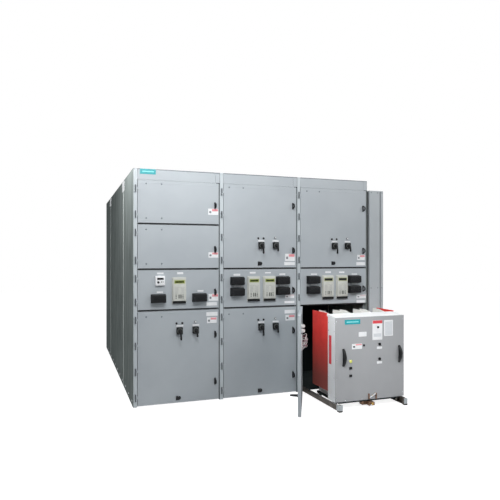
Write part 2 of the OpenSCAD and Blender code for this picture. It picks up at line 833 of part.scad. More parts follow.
base_frame();
left_end_wall();
right_end_wall();
section_divider_1();
section_divider_2();
roof_plates();
rear_covers();
header_plates();
hinge_posts();
latch_jambs();
door_rails();
compartment_shelves();
compartment_backs();
compartment_floors();
cell_shutters();
fixed_rails();
extension_rails();
right_end_column();
section1_upper_door();
section1_upper_handle();
section1_middle_door();
section1_middle_handle();
section1_instrument_door();
section1_relay_and_meter();
section1_test_blocks();
section1_instrument_handle();
section1_lower_door();
section1_lower_controls();
section2_upper_door();
section2_upper_controls();
section2_instrument_door();
section2_relays();
section2_test_blocks();
section2_instrument_handle();
section2_lower_door();
section2_lower_controls();
section3_upper_door();
section3_upper_controls();
section3_instrument_door();
section3_relays();
section3_test_blocks();
section3_instrument_handle();
section3_lower_door();
section3_lower_latch();
section3_door_terminals();
truck_frame();
truck_wheels();
operator_housing();
breaker_front_panel();
breaker_top_deck();
side_barriers();
phase_barriers();
breaker_poles();
primary_disconnects();
breaker_fittings();
racking_unit();
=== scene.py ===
# %% [markdown]
# # Metal-clad switchgear
# A switchroom line-up: three steel sections side by side, each closed by folded sheet doors, with
# protective relays in the middle and one circuit breaker rolled out on its rails.
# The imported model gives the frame: every sheet, door, hinge and wheel at its real place. This
# script dresses it. It adds the small moulded and turned pieces, and gives each surface its finish.
# The pieces are measured in millimetres, and one helper turns them into metres at the end. Only
# the camera, the floor and the lamps are placed in metres.

# %% Load the frame
import json

import bpy
import numpy as np
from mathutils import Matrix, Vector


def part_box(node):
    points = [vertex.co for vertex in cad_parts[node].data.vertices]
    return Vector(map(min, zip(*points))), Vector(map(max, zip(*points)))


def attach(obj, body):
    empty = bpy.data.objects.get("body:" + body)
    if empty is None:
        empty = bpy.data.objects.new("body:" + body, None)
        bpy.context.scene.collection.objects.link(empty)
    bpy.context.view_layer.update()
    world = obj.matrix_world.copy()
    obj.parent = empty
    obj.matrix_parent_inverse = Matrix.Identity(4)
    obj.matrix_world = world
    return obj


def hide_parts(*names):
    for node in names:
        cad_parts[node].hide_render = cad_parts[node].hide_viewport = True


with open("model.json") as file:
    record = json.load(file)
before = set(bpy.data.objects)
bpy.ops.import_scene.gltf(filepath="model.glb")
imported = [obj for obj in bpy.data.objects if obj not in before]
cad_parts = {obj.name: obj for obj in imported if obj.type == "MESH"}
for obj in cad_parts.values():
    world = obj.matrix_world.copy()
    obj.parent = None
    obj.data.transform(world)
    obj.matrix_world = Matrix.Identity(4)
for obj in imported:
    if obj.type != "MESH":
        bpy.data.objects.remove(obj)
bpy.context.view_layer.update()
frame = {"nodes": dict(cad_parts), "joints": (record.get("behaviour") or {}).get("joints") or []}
MM = 0.001

# %% [markdown]
# ## Where things are
# A fitting on a door is placed as a panel builder would dimension it: the distance u from the left
# side of its section, and the height z above the floor. The frame tells where each section starts,
# so the positions stay true when a section gets wider.

# %% Levels and section lines


def low(node):
    """The lowest corner of a CAD node, in millimetres."""
    return np.array(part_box(node)[0]) / MM


def high(node):
    """The highest corner of a CAD node, in millimetres."""
    return np.array(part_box(node)[1]) / MM


def middle_z(node):
    """The height of a node's middle, in millimetres."""
    return (low(node)[2] + high(node)[2]) / 2


def door_node(section, door):
    """The name of a door's CAD node."""
    return f"section{section}_{door}_door"


def body_of(section, door):
    """The body that carries a door's pieces: section 2's lower door is held shut on the cabinet."""
    return "cabinet" if (section, door) == (2, "lower") else door_node(section, door)


FRONT = low("header_plates")[1]
ROOF = high("roof_plates")[2]
BACK = high("rear_covers")[1]
SECTION_LEFT = {
    1: high("section_divider_1")[0] - (high("section_divider_2")[0] - high("section_divider_1")[0]),
    2: high("section_divider_1")[0],
    3: high("section_divider_2")[0],
}
SECTION_W = SECTION_LEFT[3] - SECTION_LEFT[2]
SECTION_LEFT[4] = SECTION_LEFT[3] + SECTION_W
HEADER_Z = low("header_plates")[2]
# half the gap between two doors, and the middle of the gap under the instrument doors
HALF_GAP = 5.5
INSTRUMENT_Z = low("section1_instrument_door")[2] - HALF_GAP
print("section width", round(SECTION_W, 1), "front plane", round(FRONT, 1))

# %% [markdown]
# ## Camera
# The line-up is seen from its left front corner at eye height, by a lens a little wider than
# normal. The camera is held level, so the posts stay upright, and a small lens shift frames it.

# %% Camera
camera_data = bpy.data.cameras.new("camera")
camera_data.lens = 34.33
camera_data.shift_x = 0.06
camera_data.shift_y = 0.0138
camera_data.clip_end = 100
camera = bpy.data.objects.new("camera", camera_data)
camera.location = (-2.0122, -6.5413, 1.5228)
camera.rotation_euler = np.radians([90, 0, -17.825])
bpy.context.scene.collection.objects.link(camera)
bpy.context.scene.camera = camera
bpy.context.scene.view_settings.view_transform = "Standard"
print("camera at", tuple(round(c, 2) for c in camera.location))

# %% [markdown]
# ## A first helper: nodes
# A material is a small graph. Writing it line by line hides the idea, so one function adds any
# node with its settings and links. A setting is a property of the node, or one of its sockets.
# Three more name the steps that every finish uses: a sum, a ramp and a blend of two colours.

# %% Colours and nodes


def colour(code):
    """An sRGB hex colour as the linear RGBA that a shader socket takes."""
    srgb = np.array([int(code[k : k + 2], 16) for k in (1, 3, 5)]) / 255
    linear = np.where(srgb <= 0.04045, srgb / 12.92, ((srgb + 0.055) / 1.055) ** 2.4)
    return (*linear, 1.0)


def add(tree, kind, **put):
    """Adds a node. Each word names a property or an input: a value is set, a socket is linked.

    An input that shares its name with others is given by its place, as in _0 or _1.
    """
    made = tree.nodes.new("ShaderNode" + kind)
    for word, value in put.items():
        if word.startswith("_") or word.replace("_", " ") in made.inputs:
            socket = made.inputs[int(word[1:]) if word.startswith("_") else word.replace("_", " ")]
            if isinstance(value, bpy.types.NodeSocket):
                tree.links.new(value, socket)
            else:
                socket.default_value = value
        else:
            setattr(made, word, value)
    return made


def calc(tree, operation, first, second):
    """The result of one sum, such as MULTIPLY or LESS_THAN, on two sockets or numbers."""
    return add(tree, "Math", operation=operation, _0=first, _1=second).outputs[0]


def ramp(tree, value, start, end, first=0.0, last=1.0):
    """The value carried from the range start to end onto the range first to last, and clamped."""
    return add(tree, "MapRange", Value=value, _1=start, _2=end, _3=first, _4=last).outputs[0]


def blend(tree, share, base, other):
    """Mixes two colours: a share of 0 gives the base, and 1 the other."""
    return add(tree, "Mix", data_type="RGBA", _0=share, _6=base, _7=other).outputs[2]


print("dark grey in linear light:", round(float(colour("#404040")[0]), 4))

# %% [markdown]
# ## What every finish shares
# Real surfaces are never one flat value. Each finish here starts from the shader's own sockets for
# its base values, and then gets two things at a true scale in millimetres: a slow drift in tone,
# and a fine relief, such as the orange peel of powder coat or the grain of a moulding.

# %% Finishes from real scales


def per_metre(size_mm):
    """The noise scale at which one cell of the pattern is size_mm across."""
    return 1 / (size_mm * MM)


def begin(name, rough=0.5, metal=0.0, **sockets):
    """A new material with a Principled shader. Returns material, tree, shader and coordinates."""
    made = bpy.data.materials.new(name)
    made.use_nodes = True
    tree = made.node_tree
    tree.nodes.clear()
    shader = add(tree, "BsdfPrincipled", Roughness=rough, Metallic=metal, **sockets)
    add(tree, "OutputMaterial", Surface=shader.outputs[0])
    place = add(tree, "TexCoord").outputs["Object"]
    return made, tree, shader, place


def drift(tree, place, size, amount, base, other):
    """A slow change of colour: noise of that size in mm, amount 0 to 1, mixes base with other."""
    cloud = add(tree, "TexNoise", Vector=place, Scale=per_metre(size), Detail=3.0, Roughness=0.55)
    return blend(tree, ramp(tree, cloud.outputs[0], 0.35, 0.65, 0.0, amount), base, other)


def relief(tree, place, size, depth, detail=1.0, strength=0.6, **under):
    """The normal of a fine bump: noise of that grain size, and that depth, both in mm."""
    grain = add(tree, "TexNoise", Vector=place, Scale=per_metre(size), Detail=detail).outputs[0]
    bump = add(tree, "Bump", Strength=strength, Distance=depth * MM, Height=grain, **under)
    return bump.outputs[0]


def within(tree, value, start, end, soft=0.4):
    """1 where a coordinate in metres lies between start and end, in mm, with a soft edge."""
    rise = ramp(tree, value, (start - soft) * MM, (start + soft) * MM)
    fall = ramp(tree, value, (end - soft) * MM, (end + soft) * MM, 1.0, 0.0)
    return calc(tree, "MULTIPLY", rise, fall)


def wear(tree, shader, tone, normal):
    """Gives the shader its colour and its relief."""
    tree.links.new(tone, shader.inputs["Base Color"])
    tree.links.new(normal, shader.inputs["Normal"])


print("a 3 mm grain is noise of scale", round(per_metre(3)), "per metre")

# %% [markdown]
# ## Powder-coated sheet
# The doors and header plates are cold-rolled steel with a baked polyester powder coat, light grey.
# Sprayed powder flows out before it sets and leaves an orange peel of a millimetre or two, under a
# satin gloss. Large sheet panels are also never quite flat, which shows as slow waves in the gloss.
# The hinge knuckles are part of the same CAD solids, but on the real door they are darker steel,
# so the coat turns dark on the front of a knuckle, found by its distance in plan from a hinge line.

# %% Powder coat
HINGE_LINE = frame["joints"][0]["pos_m"][:2]
KNUCKLE_R = 7.5
KNUCKLE_FACE = 4


def hinge_mask(tree, place):
    """1 on a hinge knuckle's front: distance in plan from the nearest of the repeated lines."""
    parts = add(tree, "SeparateXYZ", Vector=place).outputs
    half = SECTION_W * MM / 2
    across = calc(tree, "SUBTRACT", parts[0], HINGE_LINE[0])
    wrapped = add(tree, "Math", operation="WRAP", _0=across, _1=half, _2=-half).outputs[0]
    out = calc(tree, "SUBTRACT", parts[1], HINGE_LINE[1])
    plan = add(tree, "CombineXYZ", X=wrapped, Y=out).outputs[0]
    away = add(tree, "VectorMath", operation="LENGTH", _0=plan).outputs["Value"]
    near = calc(tree, "LESS_THAN", away, KNUCKLE_R * MM)
    return calc(tree, "MULTIPLY", near, calc(tree, "LESS_THAN", out, KNUCKLE_FACE * MM))


def powder_coat(name, base, other, rough=0.4, hinges=False, bands=()):
    """Satin powder coat. A band is (axis, start, end, colour): a strip of another tone, in mm."""
    made, tree, shader, place = begin(name, rough)
    tone = drift(tree, place, 380, 0.7, colour(base), colour(other))
    parts = add(tree, "SeparateXYZ", Vector=place)
    for axis, start, end, strip in bands:
        tone = blend(tree, within(tree, parts.outputs[axis], start, end), tone, colour(strip))
    if hinges:
        tone = blend(tree, hinge_mask(tree, place), tone, colour("#565c61"))
    waves = relief(tree, place, 300, 1.2, detail=2.0, strength=0.5)
    # orange peel is 1 to 2 mm on the real coat; 3 mm still reads as peel at arm's length
    wear(tree, shader, tone, relief(tree, place, 3, 0.06, strength=0.35, Normal=waves))
    return made


# light grey doors, satin: soft broad highlights
door_paint = powder_coat("door_powder_coat", "#aeb5ba", "#a6adb3", hinges=True)
# the header's upper edge is folded back and lies in its own shade: a darker band of painted shade
header_paint = powder_coat(
    "header_powder_coat", "#aeb5ba", "#a6adb3", bands=[(2, ROOF - 4, ROOF + 20, "#6d757b")]
)
# the hinge posts stay lighter than the doors, a thin zinc-rich coat
post_paint = powder_coat("hinge_post_coat", "#bfc7cb", "#b5bdc2", rough=0.35, hinges=True)
# the end column, the roof and the rear covers: the doors' coat, a shade lighter
column_paint = powder_coat("column_powder_coat", "#b2b8bc", "#a8afb3")
# the breaker's front, sprayed in another shop: a little greyer and flatter
breaker_paint = powder_coat("breaker_powder_coat", "#a3a5a8", "#9b9da0", rough=0.46)
# the breaker's housing: as flat, and nearly white
housing_paint = powder_coat("housing_powder_coat", "#e2e6e8", "#d8dcde", rough=0.46)
# bolts and the ends of the doors' stiffeners, sprayed over in a darker grey
stud_paint = powder_coat("stud_grey_coat", "#7d858b", "#747c82", rough=0.35)
print("painted:", [m.name for m in bpy.data.materials if "coat" in m.name])

# %% [markdown]
# ## The end walls and the structure inside
# The end walls carry a grey-green primer, set darker than the doors: partly its own tone, partly
# painted shade on walls that face away from the lamps. Rolled sheet that is hung up to be sprayed
# shows faint upright streaks, so the drift here is stretched five times along the height. The
# pale bands at the seams are a lighter folded edge with painted highlight on it. Inside the
# cubicles the primer is set nearly black: painted shade, as no light gets in.

# %% Wall and frame coats
# the widths of the wall's first and last sheets, which put its two seams
FRONT_SHEET = 856
REAR_SHEET = 836
WALL_SEAMS = (low("left_end_wall")[1] + FRONT_SHEET, high("left_end_wall")[1] - REAR_SHEET)


def primer(name, base, other, rough, seams=()):
    """Matt grey-green primer with upright streaks: the noise is stretched along z."""
    made, tree, shader, place = begin(name, rough, Specular_IOR_Level=0.0)
    drawn = add(tree, "Mapping", Vector=place)
    drawn.inputs["Scale"].default_value = (1, 1, 1 / 5)
    tone = drift(tree, drawn.outputs[0], 90, 0.9, colour(base), colour(other))
    tone = drift(tree, place, 700, 0.5, tone, colour(base))
    parts = add(tree, "SeparateXYZ", Vector=place)
    # a pale band on each seam: a lighter folded edge, with painted highlight on it
    for y in seams:
        tone = blend(tree, within(tree, parts.outputs[1], y - 10, y + 30), tone, colour("#dfe6e3"))
    wear(tree, shader, tone, relief(tree, drawn.outputs[0], 24, 0.25, detail=2.0))
    return made


# end walls: grey-green primer, darker partly as painted shade; pale seams partly painted highlight
wall_paint = primer("wall_primer", "#949c9a", "#7a8280", 0.6, WALL_SEAMS)
# base frame, floors, fixed rails and truck frame: darker, and a little smoother; on the floors
# and fixed rails inside the cubicles the dark tone is painted shade
frame_and_shade_paint = primer("frame_primer", "#3c4244", "#33393b", 0.5)
# dividers, shelves, backs, door rails and shutters: the same primer, set nearly black as
# painted shade where hardly any light falls
cell_shade_paint = primer("cell_primer", "#24282a", "#1c2022", 0.6)
# the door jambs, in the half light between the doors
jamb_paint = primer("jamb_primer", "#868d90", "#7c8386", 0.6)
print("primers:", wall_paint.name, frame_and_shade_paint.name, cell_shade_paint.name, jamb_paint.name)

# %% [markdown]
# ## Bare and plated metals
# The wheels are zinc plated, a grey metal with a soft cloudy spangle. The rails in front are drawn
# steel, brown with oil, and the contact arms are copper under thin silver. A metal gets its colour
# from the base and its look from roughness, so cloud goes into the tone and grain into the relief.

# %% Metals


def metal(name, base, other, rough, grain=6.0, depth=0.08, shine=1.0):
    """A plated or bare metal: cloudy tone and a fine grain, both in mm."""
    made, tree, shader, place = begin(name, rough, shine)
    tone = drift(tree, place, grain * 9, 0.9, colour(base), colour(other))
    wear(tree, shader, tone, relief(tree, place, grain, depth, detail=2.0))
    return made


before = len(bpy.data.materials)
# zinc plate, passivated: dull silver with a brown cast where it has been handled
zinc_plate = metal("zinc_plate", "#b9b6ae", "#8b857b", 0.38)
# cold-drawn rail steel, oily: darker and warmer
rail_steel = metal("rail_steel", "#564f48", "#332e2a", 0.5, shine=0.4)
# small bright fasteners: nickel-plated, so they sparkle
bright_screw = metal("nickel_plate", "#c9ccd0", "#aeb2b6", 0.25, grain=2.0, depth=0.02)
# blackened steel of pins, cams and latches
black_steel = metal("blackened_steel", "#26282b", "#1a1c1f", 0.4, grain=3.0, shine=0.6)
# silvered copper of the contact arms, with copper showing through
silvered_copper = metal("silvered_copper", "#c98f6c", "#b7b0a6", 0.3, grain=5.0, depth=0.03)
# the racking block: machined steel, brown with old oil
oiled_steel = metal("oiled_steel", "#7a5d48", "#4a382c", 0.45, grain=4.0, shine=0.5)
# cast brass of the racking nut
brass = metal("cast_brass", "#b99a5c", "#8f7440", 0.35, grain=3.0)
print("metals:", len(bpy.data.materials) - before)

# %% [markdown]
# ## Moulded plastics and sheet plastics
# Handles, switches and test-block covers are black phenolic with a slight sheen. Relay cases are
# cream ABS with a spark-eroded grain. Barriers are glass-fibre polyester sheet, dyed through: red
# at the sides and white between the poles, with the mottle of chopped fibre some 8 mm long.

# %% Plastics


def moulded(name, base, other, rough, grain=1.5, depth=0.05, cloud=60, foot=None, **sockets):
    """A moulded or pressed plastic: tone drifts over cloud mm, and the grain is in mm.

    With foot, the lower half fades to that colour, between 760 and 280 mm above the floor: painted
    shade.
    """
    made, tree, shader, place = begin(name, rough, **sockets)
    tone = drift(tree, place, cloud, 0.8, colour(base), colour(other))
    # the darker foot is painted shade
    if foot:
        height = add(tree, "SeparateXYZ", Vector=place).outputs[2]
        tone = blend(tree, within(tree, height, -400, 520, 240), tone, colour(foot))
    wear(tree, shader, tone, relief(tree, place, grain, depth))
    return made


before = len(bpy.data.materials)
# black phenolic: deep, with a soft sheen on the rounded edges
phenolic = moulded("black_phenolic", "#121315", "#1a1c1f", 0.45, grain=2.5, Specular_IOR_Level=0.2)
# glossier black of lens bezels and cover windows
gloss_black = moulded(
    "black_acrylic", "#0a0b0d", "#121316", 0.2, depth=0.01, Specular_IOR_Level=0.2
)
# cream ABS relay case, fine spark grain
relay_abs = moulded("cream_abs", "#c8cac4", "#bec0ba", 0.45)
# the greenish border printed round a relay's display
relay_bezel = moulded("relay_bezel_print", "#b7bb94", "#aab088", 0.4)
# the darker soft keys and rulings on a relay's face
key_rubber = moulded("grey_key_rubber", "#5b5f5c", "#4c504d", 0.6)
# liquid crystal window, unlit olive green behind a clear pane
lcd_green = moulded("lcd_olive", "#7f8f2e", "#5d6b22", 0.15, depth=0.0)
# the same window with its back light off, nearly black
lcd_dark = moulded("lcd_unlit", "#2c3128", "#22261f", 0.15, depth=0.0)
# white acrylic name plates and printed cards: flat, bright, faintly uneven
white_card = moulded("white_acrylic_plate", "#eceef0", "#e2e4e7", 0.4)
# pale grey print block on a card, as seen from far off
print_grey = moulded("card_print_grey", "#80858c", "#6f747b", 0.5, cloud=9)
# the same print, thinner, so that it reads as a paler field
print_faint = moulded("card_print_faint", "#d3d7db", "#cbcfd4", 0.5, cloud=9)
# the band of a card: red on the breaker, pink on the doors, and almost gone on the oldest
card_red = moulded("card_red_band", "#dd4a52", "#d03f48", 0.45)
card_pink = moulded("card_pink_band", "#e79aa0", "#dd8f96", 0.45)
card_faded = moulded("card_faded_band", "#dccfd2", "#d6c9cd", 0.45)
# teal enamel plate, left blank, and the paler field on it
teal_enamel = moulded("teal_enamel_plate", "#2aa3ab", "#1f939c", 0.25, cloud=90)
teal_light = moulded("teal_enamel_field", "#7fd9de", "#6fcbd1", 0.3)
# white lamp lens and pushed-in dark ones
lens_white = moulded("white_lens", "#f4f5f6", "#e6e8ea", 0.15, depth=0.0)
lens_dark = moulded("dark_lens", "#1d1a1c", "#2a2023", 0.1, depth=0.0)
# yellow-green spring-charge indicator
indicator_yellow = moulded("indicator_yellow", "#f0f27c", "#e4e86a", 0.3)
# glass-fibre polyester sheet, red and white, mottled by the chopped fibre
# (the red sheets hang beside the wheels; their lower half fades darker: painted shade of the doors)
red_polyester = moulded(
    "red_glass_polyester", "#e6413a", "#d63430", 0.4, grain=8, depth=0.12, foot="#8b443d"
)
white_polyester = moulded("white_glass_polyester", "#f6f7f4", "#ecede9", 0.42, grain=8, depth=0.12)
# white powder coat of the breaker's top deck
deck_white = moulded("white_deck_coat", "#eef0f1", "#e5e7e9", 0.4, grain=3, depth=0.05, cloud=200)
# cast epoxy of the poles and insulators: warm grey, slightly glossy
cast_epoxy = moulded("cast_epoxy", "#b9b3a6", "#a59f92", 0.32, grain=5, cloud=80)
# black rubber of the rails' feet and shoes, and of the black strips of painted shade at the door
# gaps
rubber = moulded("black_rubber", "#141414", "#1e1e1e", 0.75, grain=4)
# wire insulation: white and pale pink PVC
wire_white = moulded("white_pvc", "#eeeeee", "#dfdfe0", 0.35, grain=1)
wire_pink = moulded("pink_pvc", "#a07680", "#8d6570", 0.35, grain=1)
# white melamine of the door's sockets and terminal strip
terminal_white = moulded("white_melamine", "#f6f6f6", "#ebebec", 0.45)
print("plastics:", len(bpy.data.materials) - before)

# %% [markdown]
# ## Finishes on the frame's own solids
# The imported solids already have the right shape, so they only need their finish. A table gives it
# by the node's name. Relays and doors are known by a word in their names, and the rest are black
# fittings: handles, switches and test blocks.

# %% Finish for each node
NODES_BY_FINISH = (
    (header_paint, "header_plates"),
    (post_paint, "hinge_posts"),
    (jamb_paint, "latch_jambs"),
    (wall_paint, "left_end_wall right_end_wall"),
    (column_paint, "right_end_column roof_plates rear_covers"),
    (frame_and_shade_paint, "base_frame compartment_floors fixed_rails truck_frame"),
    (cell_shade_paint, "section_divider_1 section_divider_2 door_rails compartment_shelves"),
    (cell_shade_paint, "compartment_backs cell_shutters"),
    (rail_steel, "extension_rails"),
    (zinc_plate, "truck_wheels"),
    (housing_paint, "operator_housing"),
    (breaker_paint, "breaker_front_panel"),
    (deck_white, "breaker_top_deck"),
    (red_polyester, "side_barriers"),
    (white_polyester, "phase_barriers"),
    (cast_epoxy, "breaker_poles"),
    (silvered_copper, "primary_disconnects"),
    (oiled_steel, "racking_unit"),
    (terminal_white, "section3_door_terminals"),
)
NODE_FINISH = {name: finish for finish, names in NODES_BY_FINISH for name in names.split()}
OTHER_FINISH = {"relay": relay_abs, "_door": door_paint}


def finish_of(name):
    """The finish of a node: its own, or by a word in its name, or black phenolic."""
    if name in NODE_FINISH:
        return NODE_FINISH[name]
    return next((m for word, m in OTHER_FINISH.items() if word in name), phenolic)


for name, node in frame["nodes"].items():
    node.data.materials.clear()
    node.data.materials.append(finish_of(name))
print("finished", len(frame["nodes"]), "nodes")

# %% [markdown]
# ## Floor, backdrop and light
# A pale seamless floor, and a world that is plain white to the eye, in mirrors and through glass,
# but gentler as a light. Four softboxes, hidden from the camera, do the rest. A broad one high on
# the left gives the slow fade over the doors, and a small one lights the front corner of the wall.
# A narrow one falls on the breaker's top, and a broad one on the right keeps its side readable.

# %% Stage and light
# the length of the floor in metres, and its number of squares along that length
FLOOR_SIZE = 30.0
FLOOR_SQUARES = 8


def to_the_eye(tree):
    """1 for a ray to the camera, off a mirror or through glass, and 0 for light that bounces."""
    rays = add(tree, "LightPath").outputs
    seen = calc(tree, "MAXIMUM", rays["Is Camera Ray"], rays["Is Glossy Ray"])
    return calc(tree, "MAXIMUM", seen, rays["Is Transmission Ray"])


def floor_material():
    """White matt floor. To the eye it glows a little, so it is white where no shadow falls."""
    made, tree, shader, place = begin("white_floor", 0.9, Specular_IOR_Level=0.0)
    tone = drift(tree, place, 900, 0.4, colour("#d4d4d4"), colour("#d0d0d0"))
    tree.links.new(tone, shader.inputs["Base Color"])
    matt = shader.outputs[0]
    glow = add(tree, "Emission", Color=(1, 1, 1, 1), Strength=0.86).outputs[0]
    both = add(tree, "AddShader", _0=matt, _1=glow).outputs[0]
    pick = add(tree, "MixShader", _0=to_the_eye(tree), _1=matt, _2=both)
    out = next(n for n in tree.nodes if n.type == "OUTPUT_MATERIAL")
    tree.links.new(pick.outputs[0], out.inputs["Surface"])
    return made


def floor_mesh():
    """A square grid at z = 0: x and y run evenly over the floor's size."""
    line = np.linspace(-FLOOR_SIZE / 2, FLOOR_SIZE / 2, FLOOR_SQUARES + 1)
    x, y = np.meshgrid(line, line, indexing="ij")
    points = np.stack([x, y, np.zeros_like(x)], axis=-1).reshape(-1, 3)
    count, row = np.arange(FLOOR_SQUARES), len(line)
    corner = (count[:, None] * row + count[None, :]).reshape(-1)
    faces = np.stack([corner, corner + row, corner + row + 1, corner + 1], axis=-1)
    mesh = bpy.data.meshes.new("floor")
    mesh.from_pydata(points.tolist(), [], faces.tolist())
    return mesh


floor = bpy.data.objects.new("floor", floor_mesh())
floor.data.materials.append(floor_material())
bpy.context.scene.collection.objects.link(floor)

world = bpy.data.worlds.new("studio")
world.use_nodes = True
bpy.context.scene.world = world
sky = world.node_tree
sky.nodes.clear()
plain = add(sky, "Background", Color=(1, 1, 1, 1), Strength=1.0).outputs[0]
gentle = add(sky, "Background", Color=(0.96, 0.98, 1.0, 1), Strength=0.25).outputs[0]
sky_pick = add(sky, "MixShader", _0=to_the_eye(sky), _1=gentle, _2=plain)
add(sky, "OutputWorld", Surface=sky_pick.outputs[0])


def softbox(name, place, aim, size, power, spread=180):
    """A square area lamp at a place, facing the aim point: metres, watts, degrees of spread."""
    data = bpy.data.lights.new(name, "AREA")
    data.shape = "SQUARE"
    data.size = size
    data.energy = power
    data.spread = np.radians(spread)
    lamp = bpy.data.objects.new(name, data)
    lamp.location = place
    x, y, z = np.array(aim) - np.array(place)
    lamp.rotation_euler = (np.arctan2(np.hypot(x, y), -z), 0, np.arctan2(-x, y))
    lamp.visible_camera = False
    bpy.context.scene.collection.objects.link(lamp)


softbox("softbox_left", (-1.1, -3.9, 3.7), (-0.9, -1.6, 2.3), 1.6, 48, 130)
softbox("softbox_corner", (-2.05, -1.6, 2.9), (-1.37, -1.2, 2.1), 0.5, 15)
softbox("softbox_truck", (-0.5, -3.8, 2.3), (1.0, -2.3, 0.6), 0.8, 4, 48)
softbox("softbox_right", (3.2, -4.7, 3.7), (1.0, -2.3, 0.7), 2.0, 66)
print("world and four softboxes")

# %% [markdown]
# ## Shapes as arrays
# Most fittings on a switchboard are turned, moulded or folded parts: one outline, carried along a
# line, that grows or shrinks on the way. So each shape here is a grid of points, rings by points
# round a ring, worked out in one go with numpy. Faces join neighbouring rings, and a cap closes
# each end. In a fitting's own frame u points right, v up and d out of the door.

# %% Outlines, rings and skins


def rounded(width, height, radius, steps=4):
    """A rounded rectangle: four corner centres, plus the radius times (cos, sin) of the turn."""
    corner = np.repeat(np.arange(4), steps + 1)
    turn = (corner + np.tile(np.linspace(0, 1, steps + 1), 4)) * np.pi / 2
    sign = np.stack([np.where(np.isin(corner, (0, 3)), 1, -1), np.where(corner < 2, 1, -1)], -1)
    centre = sign * (np.array([width, height]) / 2 - radius)
    return centre + radius * np.stack([np.cos(turn), np.sin(turn)], -1)


def disc(radius, steps=24, start=0.0, end=2 * np.pi):
    """A circle, or the arc of it from start to end closed by its chord: radius times (cos, sin)."""
    turn = np.linspace(start, end, steps, endpoint=end - start < 2 * np.pi - 0.01)
    return radius * np.stack([np.cos(turn), np.sin(turn)], -1)


def skin(rings):
    """Quads between neighbouring rings, an array (rings, points, 3), and a cap on each end."""
    count, around = rings.shape[:2]
    here = np.arange(count - 1)[:, None] * around + np.arange(around)
    there = np.arange(count - 1)[:, None] * around + (np.arange(around) + 1) % around
    quads = np.stack([here, there, there + around, here + around], -1).reshape(-1, 4)
    first = tuple(range(around))
    last = tuple(range((count - 1) * around, count * around))
    return rings.reshape(-1, 3), [*map(tuple, quads.tolist()), first[::-1], last]


def stack(outline, levels):
    """Rings of one outline, one per level (d, inset): scaled so that its reach shrinks by inset."""
    depth, inset = np.array(levels, float).T
    reach = np.abs(outline).max(axis=0)
    flat = outline * (1 - inset[:, None, None] / reach)
    out = np.broadcast_to(-depth[:, None, None], (*flat.shape[:2], 1))
    return skin(np.concatenate([flat[..., :1], out, flat[..., 1:]], axis=-1))


def sweep(outline, path, side=(1, 0, 0), scale=1.0):
    """Carries an outline along a path: P + a*S + b*(T x S), S the side made square to tangent T."""
    path = np.array(path, float)
    ahead = np.gradient(path, axis=0)
    ahead /= np.linalg.norm(ahead, axis=1, keepdims=True)
    across = np.array(side, float) - (ahead @ np.array(side, float))[:, None] * ahead
    across /= np.linalg.norm(across, axis=1, keepdims=True)
    lift = np.cross(ahead, across)
    grown = outline * np.broadcast_to(scale, len(path))[:, None, None]
    return skin(
        path[:, None] + grown[..., :1] * across[:, None] + grown[..., 1:] * lift[:, None]
    )


def curve_through(points, count):
    """A smooth path: Catmull-Rom blends through the given points, count steps in all."""
    knots = np.array(points, float)
    knots = np.vstack([2 * knots[0] - knots[1], knots, 2 * knots[-1] - knots[-2]])
    t = np.linspace(0, len(points) - 1, count)
    k = np.minimum(t.astype(int), len(points) - 2)
    f = (t - k)[:, None]
    a, b, c, d = (knots[k + n] for n in range(4))
    square, cube = 2 * a - 5 * b + 4 * c - d, 3 * b - a - 3 * c + d
    return 0.5 * (2 * b + (c - a) * f + square * f**2 + cube * f**3)


print("points round a rounded corner:", len(rounded(10, 10, 2)) // 4)

# %% [markdown]
# ## Moving, copying and joining
# A shape is a pair: its points as one array, and its faces as rows of point numbers. Moving and
# turning touch only the array, and copies repeat it. The last function joins a piece's shapes,
# gives each its finish, and lets the piece ride on its body.

# %% Moves, copies and pieces
# an edge that turns by more than this many degrees stays sharp
SHARP_ANGLE = 32


def moved(shape, *offset):
    """The shape shifted by (x, y, z)."""
    return shape[0] + np.array(offset, float), shape[1]


def copies(shape, offsets):
    """One shape at every offset (x, y, z): the points are repeated as one array."""
    offsets = np.array(offsets, float).reshape(-1, 3)
    points = (shape[0][None] + offsets[:, None]).reshape(-1, 3)
    step = len(shape[0])
    return points, [tuple(i + k * step for i in f) for k in range(len(offsets)) for f in shape[1]]


def turned(shape, degrees, centre=(0, 0), plane=(0, 2)):
    """The shape turned about a point, from the first axis of the plane towards the second."""
    turn = np.radians(degrees)
    points = shape[0].copy()
    a, b = plane
    p, q = points[:, a] - centre[0], points[:, b] - centre[1]
    points[:, a] = centre[0] + p * np.cos(turn) - q * np.sin(turn)
    points[:, b] = centre[1] + p * np.sin(turn) + q * np.cos(turn)
    return points, shape[1]


def facing(way, shape):
    """The shape turned to point left, back or up, where it pointed to the front."""
    degrees, plane = {"left": (-90, (0, 1)), "back": (180, (0, 1)), "up": (-90, (1, 2))}[way]
    return turned(shape, degrees, plane=plane)


